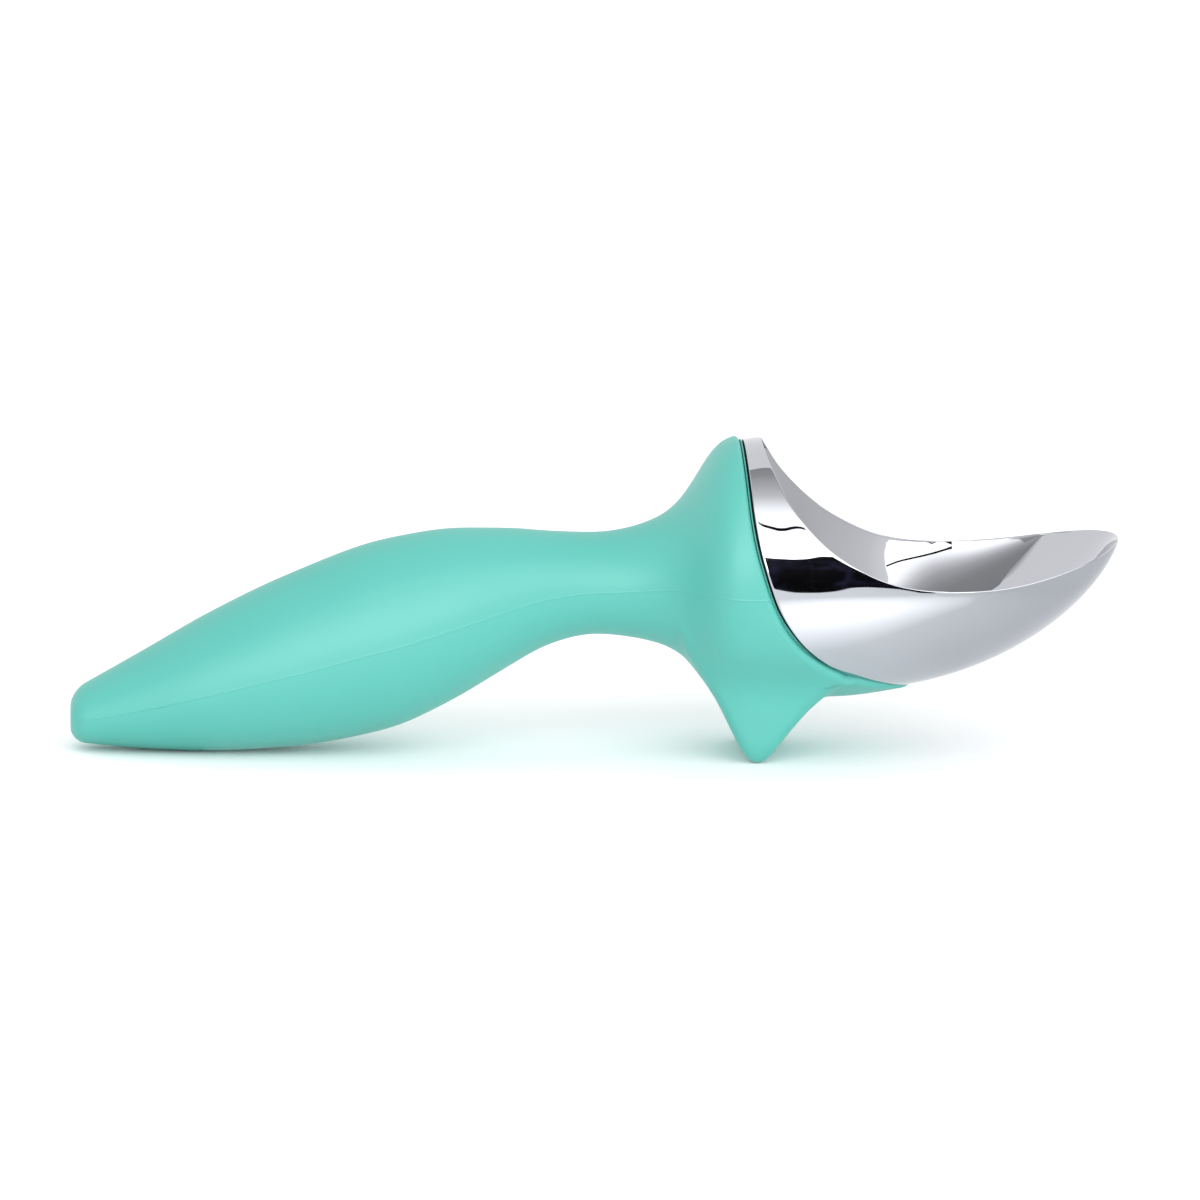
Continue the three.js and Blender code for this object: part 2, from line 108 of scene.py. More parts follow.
class Sheets:
    """Collects sheets of points, in millimetres, and makes one closed mesh of them."""

    def __init__(self):
        self.points = []
        self.faces = []
        self.count = 0
        self.second_finish = math.inf

    def add(self, rows):
        """Adds a sheet of shape (rows, columns, 3) and returns the numbers of its points."""
        height, width = rows.shape[:2]
        numbers = np.arange(height * width).reshape(height, width) + self.count
        self.points.append(rows.reshape(-1, 3))
        self.count += height * width
        return numbers

    def skin(self, numbers):
        corners = np.stack([numbers[:-1, :-1], numbers[:-1, 1:], numbers[1:, 1:], numbers[1:, :-1]], -1)
        self.faces += corners.reshape(-1, 4).tolist()

    def sheet(self, rows):
        numbers = self.add(rows)
        self.skin(numbers)
        return numbers

    def piece(self, name, mirrored=False):
        points = np.concatenate(self.points) * MM
        faces = list(self.faces)
        finish = [int(number >= self.second_finish) for number in range(len(faces))]
        if mirrored:
            finish += finish
            faces += [[n + len(points) for n in face] for face in self.faces]
            points = np.concatenate([points, points * (1, -1, 1)])
        mesh = bpy.data.meshes.new(name)
        mesh.from_pydata(points.tolist(), [], faces)
        mesh.polygons.foreach_set("material_index", finish)
        work = bmesh.new()
        work.from_mesh(mesh)
        bmesh.ops.remove_doubles(work, verts=work.verts, dist=MERGE)
        bmesh.ops.dissolve_degenerate(work, edges=work.edges, dist=MERGE)
        bmesh.ops.recalc_face_normals(work, faces=work.faces)
        open_edges = sum(not edge.is_manifold for edge in work.edges)
        work.to_mesh(mesh)
        work.free()
        mesh.polygons.foreach_set("use_smooth", [True] * len(mesh.polygons))
        mesh.set_sharp_from_angle(angle=SHARP)
        piece = bpy.data.objects.new(name, mesh)
        scene.collection.objects.link(piece)
        print(name, "faces:", len(mesh.polygons), "open edges:", open_edges)
        return piece


# %% [markdown]
# ## Lines that the forms follow
# A handle like this is drawn as a few side lines: its top, its bottom and its half width. Each is a
# smooth line through a few points that never overshoots them. The eye sees every small kink in a soft
# plastic surface, so the lines are faired once more by averaging over a short stretch.

# %% Smooth lines
FAIRING, FAIRING_REACH = 2.0, 4
FINE_STEP = 0.25


def smooth_line(points):
    place, value = np.array(points, float).T
    slope = np.diff(value) / np.diff(place)
    before = np.concatenate([slope[:1], slope])
    after = np.concatenate([slope, slope[-1:]])
    same_way = before * after > 0
    tangent = np.where(same_way, 2 * before * after / np.where(same_way, before + after, 1), 0)

    def at(x):
        k = np.clip(np.searchsorted(place, x, side="right") - 1, 0, len(place) - 2)
        width = place[k + 1] - place[k]
        t = np.clip((x - place[k]) / width, 0, 1)
        rise = value[k + 1] - value[k]
        start = tangent[k] * width - rise
        end = rise - tangent[k + 1] * width
        return value[k] + t * rise + t * (1 - t) * (start * (1 - t) + end * t)

    return at


def faired(points):
    line = smooth_line(points)
    x = np.arange(points[0][0], points[-1][0] + FINE_STEP, FINE_STEP)
    value = line(x)
    reach = int(FAIRING_REACH * FAIRING / FINE_STEP)
    step = np.arange(1, reach + 1)
    head = value[0] - (value[1] - value[0]) * step[::-1]
    tail = value[-1] + (value[-1] - value[-2]) * step
    weight = np.exp(-0.5 * (np.arange(-reach, reach + 1) * FINE_STEP / FAIRING) ** 2)
    soft = np.convolve(np.concatenate([head, value, tail]), weight / weight.sum(), "valid")
    return lambda at: np.interp(at, x, soft)


def ease(x, start, end):
    t = np.clip((x - start) / (end - start), 0, 1)
    return t * t * (3 - 2 * t)


def mix(a, b, share):
    return a + (b - a) * share


def soft_max(a, b, width):
    share = np.clip(0.5 + 0.5 * (a - b) / width, 0, 1)
    return mix(b, a, share) + width * share * (1 - share)


def soft_min(a, b, width):
    return -soft_max(-a, -b, width)


def corner_inset(distance, radius):
    short = np.clip(radius - distance, 0, radius)
    return radius - np.sqrt(radius * radius - short * short)


def flowing_curve(points, steps=800):
    """Points along a curve through the given points, as a draughtsman's spline would run."""
    p = np.array(points, float)
    t = np.linspace(0, len(p) - 1, steps)
    k = np.minimum(t.astype(int), len(p) - 2)
    w = (t - k)[:, None]
    p0, p1 = p[np.maximum(k - 1, 0)], p[k]
    p2, p3 = p[k + 1], p[np.minimum(k + 2, len(p) - 1)]
    v1, v2 = (p2 - p0) / 2, (p3 - p1) / 2
    cubic = (2 * p1 - 2 * p2 + v1 + v2) * w**3 + (3 * p2 - 3 * p1 - 2 * v1 - v2) * w**2
    return cubic + v1 * w + p1


print("lines are faired over", FAIRING, "mm")

# %% [markdown]
# ## The handle's lines
# The grip swells for the palm, narrows at the neck and flares out to the flange that holds the bowl. From
# the flange a thin tongue runs on under the bowl. The numbers are those of the CAD model, so both agree;
# only the belly is left round here, where the CAD has a narrow flat to rest on, and the tongue ends in a
# finer point.

# %% Handle lines
BOWL_RADIUS = 25.6
BOWL_AXIS = 40.1
KEEL_HEIGHT = 14.0
FLANGE_X = 30.4
NECK_X = 0.0
REAR_X = -107.7
TONGUE_REACH = 35.5
TONGUE_END_X = FLANGE_X + TONGUE_REACH
TONGUE_HEIGHT = 12.1
FLANGE_RADIUS = 26.1
FLANGE_TOP = BOWL_AXIS + FLANGE_RADIUS
GRIP_TOP, GRIP_HALF = 46.6, 16.5
NECK_TOP, NECK_BOTTOM, NECK_HALF = 45.8, 24.9, 10.5
END_TOP, END_BOTTOM, END_HALF = 12.0, 1.7, 6.4
END_ROUND = 3.0
SEAM_BELOW_AXIS = 3.0
GRIP_WIDEST_X = -42.6
TONGUE_RISE, TONGUE_RUN_OUT = 0.6, (6, 2.2)
FLARE = [
    (0, 0), (0.23, 0.05), (0.36, 0.114), (0.5, 0.22), (0.63, 0.44), (0.77, 0.82), (0.86, 0.96), (1, 1),
]


def along_grip(start, end, pairs):
    return [(mix(REAR_X, NECK_X, along), mix(start, end, share)) for along, share in pairs]


def along_flare(start, end):
    return [(mix(NECK_X, FLANGE_X, along), mix(start, end, share)) for along, share in FLARE]


top_line = faired([
    *along_grip(END_TOP, GRIP_TOP, [(0, 0), (0.146, 0.263), (0.257, 0.468), (0.415, 0.714), (0.604, 0.934)]),
    *along_grip(GRIP_TOP, NECK_TOP, [(0.75, 0), (0.834, 0), (0.916, 0.75)]),
    *along_flare(NECK_TOP, FLANGE_TOP),
    (TONGUE_END_X, FLANGE_TOP),
])
bottom_line = faired([
    *along_grip(END_BOTTOM, 0, [(0, 0), (0.146, 0.8), (0.257, 1)]),
    *along_grip(0, NECK_BOTTOM, [(0.415, 0.036), (0.604, 0.19), (0.721, 0.42)]),
    *along_grip(0, NECK_BOTTOM, [(0.834, 0.718), (0.916, 0.917)]),
    *along_flare(NECK_BOTTOM, (KEEL_HEIGHT + TONGUE_HEIGHT) / 2),
    (FLANGE_X + TONGUE_REACH / 2, TONGUE_HEIGHT),
    (TONGUE_END_X, KEEL_HEIGHT + TONGUE_RISE),
    (TONGUE_END_X + TONGUE_RUN_OUT[0], KEEL_HEIGHT + TONGUE_RUN_OUT[1]),
])
half_line = faired([
    *along_grip(END_HALF, GRIP_HALF, [(0, 0), (0.146, 0.455), (0.257, 0.723), (0.415, 0.93), (0.604, 1)]),
    *along_grip(GRIP_HALF, NECK_HALF, [(0.721, 0.15), (0.834, 0.533), (0.916, 0.833)]),
    *along_flare(NECK_HALF, FLANGE_RADIUS),
    (TONGUE_END_X, FLANGE_RADIUS),
])


def handle_centre(x):
    return mix((top_line(x) + bottom_line(x)) / 2, BOWL_AXIS, ease(x, NECK_X, FLANGE_X))


def parting_height(x):
    return handle_centre(x) - SEAM_BELOW_AXIS * ease(x, NECK_X, FLANGE_X)


def oval_reach(angle, half, up, down):
    tall = np.where(np.sin(angle) > 0, up, down)
    return 1 / np.hypot(np.cos(angle) / half, np.sin(angle) / tall)


def body_reach(x, angle, inset=0.0):
    """How far the plain handle reaches from its centre, in the direction of the angle."""
    drawn = inset + corner_inset(x - REAR_X, END_ROUND)
    centre = handle_centre(x)
    up = top_line(x) - centre - drawn
    down = centre - bottom_line(x) - drawn
    return oval_reach(angle, half_line(x) - drawn, up, down)


print("the grip is", round(2 * float(half_line(GRIP_WIDEST_X)), 1), "mm wide where it is widest")

# %% [markdown]
# ## The foot
# The foot is a soft wedge under the flange. Its side outline was read off the photograph. Its two sides
# stand a little closer together at the tip and draw in towards the neck, so that it grows out of it. A
# sculptor would model it into the handle, and a mesh modeller could cut and bevel a block. Here it is a
# second form around the same centre: the larger of the two reaches wins, with a soft blend between them,
# which gives the rounded edges and the hollow crease above.

# %% Foot
FOOT_OUTLINE = [
    (13.0, 44.0), (16.0, 30.0), (18.7, 22.8), (22.2, 17.3), (25.3, 12.2), (27.5, 7.6), (29.4, 3.2),
    (31.0, 0.3), (33.0, -0.9), (35.2, 0.2), (37.6, 3.7), (40.2, 7.3), (42.8, 10.3), (45.9, 13.9),
    (49.0, 18.0), (53.0, 26.0), (57.0, 40.0),
]
FOOT_TIP_X = 33.0
FOOT_HALF_WIDTH = [(13, 8.5), (19, 9.5), (26, 12.6), (31, 13.5), (60, 13.5)]
FOOT_SPLAY = 0.1
FOOT_EDGE = 5.0
FOOT_BLEND = 5.0
FOOT_ROOT = (math.radians(18), math.radians(42))
foot_line = faired(FOOT_OUTLINE)
foot_half = smooth_line(FOOT_HALF_WIDTH)


def fold(angle):
    """Both sides of the scoop are alike, so an angle on the far side is folded onto the near one."""
    return np.arcsin(np.sin(angle))


def foot_reach(x, angle):
    centre = handle_centre(x)
    down = np.maximum(-np.sin(angle), 1e-6)
    across = np.abs(np.cos(angle))
    side = (foot_half(x) + FOOT_SPLAY * centre) / (across + FOOT_SPLAY * down)
    under = np.maximum(centre - foot_line(x), 0) / down
    return soft_min(side, under, FOOT_EDGE) * ease(-fold(angle), *FOOT_ROOT)


def handle_reach(x, angle):
    return soft_max(body_reach(x, angle), foot_reach(x, angle), FOOT_BLEND)


tip = handle_centre(FOOT_TIP_X) - handle_reach(np.array(FOOT_TIP_X), np.array(-math.pi / 2))
print("lowest point of the foot:", round(float(tip), 2), "mm")

# %% [markdown]
# ## The bowl's lines
# The bowl is round behind and drawn out to a rising tip. A keel line runs under it, the mouth sweeps down
# from the top of the back and rises again to the tip, and the edge of the handle crosses its outside.
# Each of these is a curve in the side view, and the bowl's skins are trimmed to them.

# %% Bowl lines
BOWL_BACK_X = 28.5
NOSE_START_X = 76.0
NOSE_LENGTH = 31.7
TIP_X = NOSE_START_X + NOSE_LENGTH
TIP_RISE = 5.2
TIP_HEIGHT = BOWL_AXIS + TIP_RISE
KEEL_START_X = 56.0
KEEL_EASE = 19.0
TIP_EASE, TIP_EASE_DROP = 6.7, 17.8
KNOWN_INSET = 1.3
MOUTH_DIP = 1.2
MOUTH_BACK_X = 33.9
MOUTH_LOW_X = 71.0
KEEL_POINTS = 1500
MEET_STEPS, MEET_SHARE = 160, 0.3
COARSE = 4


def keel_curve(inset):
    t = np.linspace(0, 1, KEEL_POINTS)[:, None]
    ends = np.array([
        (KEEL_START_X, KEEL_HEIGHT + inset),
        (KEEL_START_X + KEEL_EASE, KEEL_HEIGHT + inset),
        (TIP_X - TIP_EASE - inset, TIP_HEIGHT - TIP_EASE_DROP + inset / 2),
        (TIP_X - inset, TIP_HEIGHT),
    ])
    rear = (1 - t) ** 3 * ends[0] + 3 * t * (1 - t) ** 2 * ends[1]
    return rear + 3 * t * t * (1 - t) * ends[2] + t**3 * ends[3]


keels = {inset: keel_curve(inset) for inset in (0.0, KNOWN_INSET)}


def keel_height(x, inset):
    share = (x - KEEL_START_X) / (TIP_X - inset - KEEL_START_X)
    heights = []
    for known, curve in keels.items():
        place = KEEL_START_X + share * (TIP_X - known - KEEL_START_X)
        heights.append(np.interp(place, curve[:, 0], curve[:, 1]))
    return mix(heights[0], heights[1], inset / KNOWN_INSET)


def bowl_point(place, angle, inset=0.0, drawn=0.0):
    """A point of the bowl's skin: place runs to the tip, the angle goes around, inset is measured inwards."""
    place, angle, inset = np.broadcast_arrays(place, angle, inset)
    along = np.clip((place - NOSE_START_X) / NOSE_LENGTH, 0, 1)
    x = place - inset * along
    centre = BOWL_AXIS + TIP_RISE * along**2
    half = (BOWL_RADIUS - inset) * np.sqrt(1 - along**2)
    down = np.maximum(centre - keel_height(x, inset), 0)
    tall = np.where(np.sin(angle) > 0, half, down) - drawn
    return np.stack([x, (half - drawn) * np.cos(angle), centre + tall * np.sin(angle)], -1)


def mouth_points():
    low = BOWL_AXIS - MOUTH_DIP
    rise = BOWL_RADIUS + MOUTH_DIP
    sweep = [(-0.04, 1.12), (-0.005, 0.99), (0.04, 0.85), (0.116, 0.657), (0.224, 0.474), (0.34, 0.32)]
    sweep += [(0.474, 0.194), (0.636, 0.086), (0.8, 0.025)]
    nose = [(0.32, 0.1), (0.63, 0.43), (1, 1), (1.1, 1.25)]
    points = [(mix(MOUTH_BACK_X, MOUTH_LOW_X, along), low + share * rise) for along, share in sweep]
    points.append((MOUTH_LOW_X, low))
    points += [(mix(MOUTH_LOW_X, TIP_X, along), low + share * (TIP_HEIGHT - low)) for along, share in nose]
    return flowing_curve(points)


mouth_curve = mouth_points()


def mouth_height(x):
    return np.interp(x, mouth_curve[:, 0], mouth_curve[:, 1])


EDGE_SHAPE = [
    (-0.037, 1.2), (-0.031, 1), (-0.018, 0.81), (0.006, 0.51), (0.042, 0.257), (0.101, -0.015),
    (0.158, -0.222), (0.242, -0.44), (0.361, -0.628), (0.524, -0.797), (0.7, -0.905), (0.88, -0.968),
    (1.1, -1.05), (1.3, -1.2),
]
edge_curve = flowing_curve([
    (FLANGE_X + reach * TONGUE_REACH, BOWL_AXIS + rise * FLANGE_RADIUS) for reach, rise in EDGE_SHAPE
])


def moved_edge(*distances):
    """The handle's front edge moved forwards, by distances given as pairs of height and distance."""
    distance = smooth_line(distances)(edge_curve[:, 1])[:, None]
    run = np.gradient(edge_curve, axis=0)
    run /= np.linalg.norm(run, axis=1)[:, None]
    return edge_curve + distance * np.stack([-run[:, 1], run[:, 0]], -1)


def meet_edge(height_of, angles, edge):
    """Follows each line of the skin forwards until it meets the edge."""
    x = np.full(len(angles), TONGUE_END_X)
    for _ in range(MEET_STEPS):
        x = mix(x, np.interp(height_of(x, angles), edge[::-1, 1], edge[::-1, 0]), MEET_SHARE)
    return x


def distance_to(curve, x, z):
    """The shortest distance from points of the side view to a curve."""
    shortest = np.full(np.shape(x), np.inf)
    for (x0, z0), (x1, z1) in zip(curve[:-COARSE:COARSE], curve[COARSE::COARSE]):
        step_x, step_z = x1 - x0, z1 - z0
        share = np.clip(((x - x0) * step_x + (z - z0) * step_z) / (step_x**2 + step_z**2), 0, 1)
        shortest = np.minimum(shortest, np.hypot(x - x0 - share * step_x, z - z0 - share * step_z))
    return shortest


print("the mouth is lowest at", round(float(mouth_curve[:, 1].min()), 1), "mm")

# %% [markdown]
# ## The two handle shells
# The handle is moulded as an upper and a lower half, and the joint runs along its side as a fine raised
# line. Each half is a closed shell: rings of points run from the end of the grip to the rounded lip at
# the flange, turn over the lip and come back inside. The rings lean forward near the flange, so that the
# last one lies exactly on the edge of the handle. More lines run around where the foot needs them.

# %% Shell layout
SHELL_WALL = 3.0
LIP_ROUND, LIP_LEAST, LIP_COVER = 1.2, 0.3, 0.7
LIP_STEPS, LIP_STRETCH, LIP_WALL = 8, 3, 0.1
NOTCH_HEIGHT, NOTCH_EASE, NOTCH_STEP = 17.8, 0.6, 0.55
BOWL_SEAT, SEAT_EASE = 0.9, 3
REAR_STEPS, GRIP_STEPS, FRONT_STEPS = 9, 96, 97
SEAM_FRONT_ANGLE = -0.1
HIGHEST = 90
SEAM_GAP = 0.006
SEAM_STEPS = np.array([1.6, 1.0, 0.62, 0.4, 0.28, 0.2, 0.13, 0.07, 0.0])
RIDGE_WIDTH = 0.16
FRONT_START_X = 12.0
CORE_REAR_X = -94.8
RIDGE_HEIGHT = 0.07
RIDGE_MARKS = [
    (-95.5, 1.6, 0.05), (-91.5, 1.2, 0.06), (-88.0, 1.5, 0.07), (-84.6, 0.8, 0.05), (-63.8, 0.7, 0.07),
    (29.0, 6.0, 0.06),
]
NUB_X, NUB_SIZE, NUB_HEIGHT = 34.5, 0.4, 0.3

all_angles = np.radians(np.linspace(-90, 90, 721))


def handle_height(x, angle):
    return handle_centre(x) + handle_reach(x, angle) * np.sin(angle)


lip_steps = [(0, NOTCH_STEP), (NOTCH_HEIGHT - NOTCH_EASE, NOTCH_STEP), (NOTCH_HEIGHT, 0), (HIGHEST, 0)]
lip_edge = moved_edge(*lip_steps)
front_places = meet_edge(handle_height, all_angles, lip_edge)
front_slope = np.gradient(front_places, all_angles) / FLANGE_RADIUS
bowl_down = BOWL_AXIS - keel_height(front_places, 0.0)
bowl_reach = oval_reach(all_angles, BOWL_RADIUS, BOWL_RADIUS, bowl_down)
lip_height = handle_reach(front_places, all_angles) - bowl_reach
lip_rounds = np.clip(lip_height + LIP_COVER, LIP_LEAST, LIP_ROUND)
lip_places = lip_rounds * np.minimum(np.hypot(1, front_slope), LIP_STRETCH)


def front_of(angle):
    return np.interp(fold(angle), all_angles, front_places)


def lip_of(angle):
    return np.interp(fold(angle), all_angles, lip_places), np.interp(fold(angle), all_angles, lip_rounds)


def seam_angle(x):
    drawn = corner_inset(x - REAR_X, END_ROUND)
    below = parting_height(x) - handle_centre(x)
    down = handle_centre(x) - bottom_line(x) - drawn
    return np.arctan2(below, (half_line(x) - drawn) * np.sqrt(1 - (below / down) ** 2))


def ridge(x, distance):
    height = RIDGE_HEIGHT + sum(h * np.exp(-(((x - at) / length) ** 2)) for at, length, h in RIDGE_MARKS)
    nub = NUB_HEIGHT * np.exp(-(((x - NUB_X) ** 2 + distance**2) / NUB_SIZE**2))
    return height * np.exp(-((distance / RIDGE_WIDTH) ** 2)) + nub


def inner_reach(x, angle):
    wall = body_reach(np.minimum(x, FLANGE_X), angle, SHELL_WALL)
    keel = BOWL_AXIS - keel_height(x, 0.0)
    seat = oval_reach(angle, BOWL_RADIUS - BOWL_SEAT, BOWL_RADIUS - BOWL_SEAT, keel - BOWL_SEAT)
    return mix(wall, seat, ease(x, BOWL_BACK_X - SEAT_EASE, BOWL_BACK_X))


def ring_points(x, angle, reach):
    return np.stack([x, reach * np.cos(angle), handle_centre(x) + reach * np.sin(angle)], -1)


rear_places = REAR_X + END_ROUND * (1 - np.cos(np.linspace(0, math.pi / 2, REAR_STEPS)))
grip_places = np.linspace(REAR_X + END_ROUND, FRONT_START_X, GRIP_STEPS)[1:]
front_shares = np.linspace(0, 1, FRONT_STEPS)[1:]
print("rings along each shell:", len(rear_places) + len(grip_places) + len(front_shares))


# %% Shell builder
def shell_angles(seam_x, middle, main):
    """The angles of one ring's lines, and each line's distance from the joint."""
    seam = seam_angle(seam_x)
    reach = float(body_reach(seam_x, seam))
    turn = math.pi / 2 + (seam if middle < 0 else -seam) - SEAM_GAP / 2 / reach
    last = SEAM_STEPS[0] / reach
    offsets = np.concatenate([main * (turn - last), turn - SEAM_STEPS / reach])
    angles = middle + np.concatenate([-offsets[::-1], offsets[1:]])
    distance = (turn - np.abs(angles - middle)) * reach
    return angles, distance


def shell_rings(middle, main):
    """Outer rings from the end to the lip, the lip itself, and inner rings for the same places."""
    outer, inner = [], []
    for x in np.concatenate([rear_places, grip_places]):
        angles, distance = shell_angles(x, middle, main)
        places = np.full(len(angles), x)
        outer.append(ring_points(places, angles, handle_reach(places, angles) + ridge(x, distance)))
        inner.append(ring_points(places, angles, inner_reach(places, angles)))
    for share in front_shares:
        seam_x = mix(FRONT_START_X, float(front_of(SEAM_FRONT_ANGLE)), share)
        angles, distance = shell_angles(seam_x, middle, main)
        length, drop = lip_of(angles)
        places = mix(FRONT_START_X, front_of(angles) - length, share)
        reach = handle_reach(places, angles) + ridge(places, distance)
        outer.append(ring_points(places, angles, reach))
        inner.append(ring_points(places, angles, inner_reach(places, angles)))
    lip = []
    for turn in np.linspace(0, math.pi / 2, LIP_STEPS + 1)[1:]:
        over = places + length * math.sin(turn)
        lip.append(ring_points(over, angles, reach - drop * (1 - math.cos(turn))))
    under = np.minimum(inner_reach(over, angles), reach - drop - LIP_WALL)
    lip.append(ring_points(over, angles, under))
    return outer, lip, inner


def make_shell(name, middle, main):
    outer, lip, inner = shell_rings(middle, main)
    first = next(k for k, ring in enumerate(inner) if ring[0, 0] > CORE_REAR_X)
    rings = np.stack(outer + lip + inner[:first - 1:-1])
    sheets = Sheets()
    n = sheets.sheet(rings)
    ends = []
    for x in (REAR_X, inner[first][0, 0]):
        gap = math.copysign(SEAM_GAP / 2, middle)
        ends.append(sheets.add(np.array([[[x, 0, float(parting_height(x)) + gap]]]))[0, 0])
    for row, centre in ((n[0], ends[0]), (n[-1], ends[1])):
        sheets.faces += [[centre, a, b] for a, b in zip(row[:-1], row[1:])]
    count = len(outer)
    back = {k: n[len(n) - 1 - (k - first)] for k in range(first, count)}
    for k in range(first, count - 1):
        for side in (0, -1):
            sheets.faces.append([n[k][side], n[k + 1][side], back[k + 1][side], back[k][side]])
    for side in (0, -1):
        lip_rows = [n[k][side] for k in range(count - 1, count + len(lip))]
        sheets.faces.append([*lip_rows, back[count - 1][side]])
    for k in range(first - 1):
        corner = [n[k][0], n[k + 1][0], n[k + 1][-1], n[k][-1]]
        sheets.faces.append([*corner, ends[0]] if k == 0 else corner)
    inside = [back[first][0], ends[1], back[first][-1]]
    sheets.faces.append([n[first - 1][0], n[first][0], *inside, n[first][-1], n[first - 1][-1]])
    return sheets.piece(name)


def spread(*parts):
    """Shares of a turn, given as stretches of (start, end, steps)."""
    return np.concatenate([np.linspace(start, end, steps, endpoint=False) for start, end, steps in parts])


LOWER_TURNS = spread((0, 0.15, 10), (0.15, 0.4, 40), (0.4, 1, 34))
UPPER_TURNS = spread((0, 1, 44))
lower_shell = make_shell("moulded_lower_shell", -math.pi / 2, LOWER_TURNS)
upper_shell = make_shell("moulded_upper_shell", math.pi / 2, UPPER_TURNS)

# %% [markdown]
# ## The ring at the edge of the bowl
# Between the lip of the handle and the metal lies a narrow sunken band, the handle's green darkened as
# painted shade. It runs from the tongue on one side over the top to the other side. A ring of six points is
# carried along the edge of the handle, with its two outer corners eased, and closed by a face at each end.
# It stops short of the metal, so a narrow gap is left between the two.

# %% Rim ring
RING_BACK = [(0, 0.04), (HIGHEST, 0.04)]
RING_FRONT = [(0, 0.92), (28, 0.9), (35, 0.44), (HIGHEST, 0.38)]
RING_SECTION = [(0.0, 0.1), (0.2, 0.0), (0.8, 0.0), (1.0, 0.1)]
RING_FLOOR = 1.85
RING_STEPS = 150
ring_sink = smooth_line([(0, 0.75), (28, 0.7), (37, 0.55), (HIGHEST, 0.5)])


def bowl_height(inset):
    return lambda x, angle: bowl_point(x, angle, inset)[..., 2]


def make_rim_ring():
    places = meet_edge(bowl_height(0.0), all_angles, edge_curve)
    heights = bowl_point(places, all_angles)[:, 2]
    start = np.interp(NOTCH_HEIGHT, heights, all_angles)
    angles = np.linspace(start, math.pi / 2, RING_STEPS)
    sink = ring_sink(np.interp(angles, all_angles, heights))
    section = [(0.0, sink * 0 + RING_FLOOR), *[(share, sink + eased) for share, eased in RING_SECTION]]
    section.append((1.0, section[0][1]))
    back, front = moved_edge(*RING_BACK), moved_edge(*RING_FRONT)
    columns = []
    for share, inset in section:
        x = meet_edge(bowl_height(inset), angles, mix(back, front, share))
        columns.append(bowl_point(x, angles, inset))
    rows = np.stack(columns + columns[:1], 1)
    sheets = Sheets()
    numbers = sheets.sheet(rows)
    sheets.faces.append(numbers[0][:-1].tolist())
    return sheets.piece("rim_ring", mirrored=True)


rim_ring = make_rim_ring()

# %% [markdown]
# ## The polished bowl
# Chrome shows every flaw of a mesh, so the bowl isn't cut out of a block. Its outer skin is one set of
# lines that run from the keel up to the mouth, and each line ends exactly on the rim; the inner skin has
# the same lines. Between them the rim is a thin rounded edge. Lines lie closer where the mouth curves
# away from them. Behind, the bowl steps down to a round seat and a boss, which sit inside the handle. The
# seat is painted near black as shade, so the gap at the ring looks black.

# %% Bowl skins
RIM_WALL = 0.3
RIM_SLOPE = 0.38
FLARE_DEPTH, TIP_FLARE_DEPTH = 13.0, 2.0
BACK_EDGE_DROP, BACK_EDGE_EASE = 0.1, 0.16
TOP_DROP, TOP_EASE, TOP_POWER, TOP_TURN = 0.45, 3.4, 1.5, (0.8, 1.4)
CAVITY_BACK_X = 33.1
CAVITY_CORNER, TOP_CORNER = 10.0, 0.6
CORNER_TURN = (math.radians(15), math.radians(80))
BOWL_STEP = 1.9
flare_depth = smooth_line([(MOUTH_LOW_X, FLARE_DEPTH), (TIP_X, TIP_FLARE_DEPTH)])
CHROME_START = [
    (0, 0.7), (NOTCH_HEIGHT - NOTCH_EASE, 0.7), (NOTCH_HEIGHT + NOTCH_EASE, 1.2), (28, 1.2), (35, 0.86),
    (HIGHEST, 0.82),
]
LOW_LINES, HIGH_LINES = 46, 60
BACK_STEPS, NOSE_STEPS, INNER_STEPS, WALL_STEPS = 28, 44, 40, 8
HIGH_CROWDING, BACK_CROWDING, INNER_CROWDING = 1.7, 1.6, 1.8


def rim_angle(place):
    """The angle at which the mouth cuts the outer skin."""
    along = np.clip((place - NOSE_START_X) / NOSE_LENGTH, 0, 1)
    centre = BOWL_AXIS + TIP_RISE * along**2
    lift = mouth_height(place) - centre
    half = BOWL_RADIUS * np.sqrt(1 - along**2)
    tall = np.where(lift > 0, half, centre - keel_height(place, 0.0))
    return np.arcsin(np.clip(lift / np.maximum(tall, 1e-6), -1, 1))


low_angle = float(rim_angle(np.array(MOUTH_LOW_X)))
low_turns = np.linspace(0, 1, LOW_LINES)
high_angles = mix(low_angle, math.pi / 2, np.linspace(0, 1, HIGH_LINES) ** HIGH_CROWDING)
nose_turn = np.linspace(0, 1, NOSE_STEPS + 1)[1:]
nose_places = mix(MOUTH_LOW_X, TIP_X, np.sin(nose_turn * math.pi / 2))


def sweep_place(angles):
    """Where the mouth's rear sweep crosses each of the upper lines."""
    height = BOWL_AXIS + np.where(angles > 0, BOWL_RADIUS, BOWL_AXIS - KEEL_HEIGHT) * np.sin(angles)
    low = int(np.argmin(mouth_curve[:, 1]))
    return np.interp(-height, -mouth_curve[:low + 1, 1], mouth_curve[:low + 1, 0])


def lower_angles(places):
    """Angles of the lower lines: they rise to the mouth in front of its lowest point."""
    limit = np.where(places > MOUTH_LOW_X, rim_angle(places), low_angle)
    return -math.pi / 2 + (limit + math.pi / 2) * low_turns[:, None]


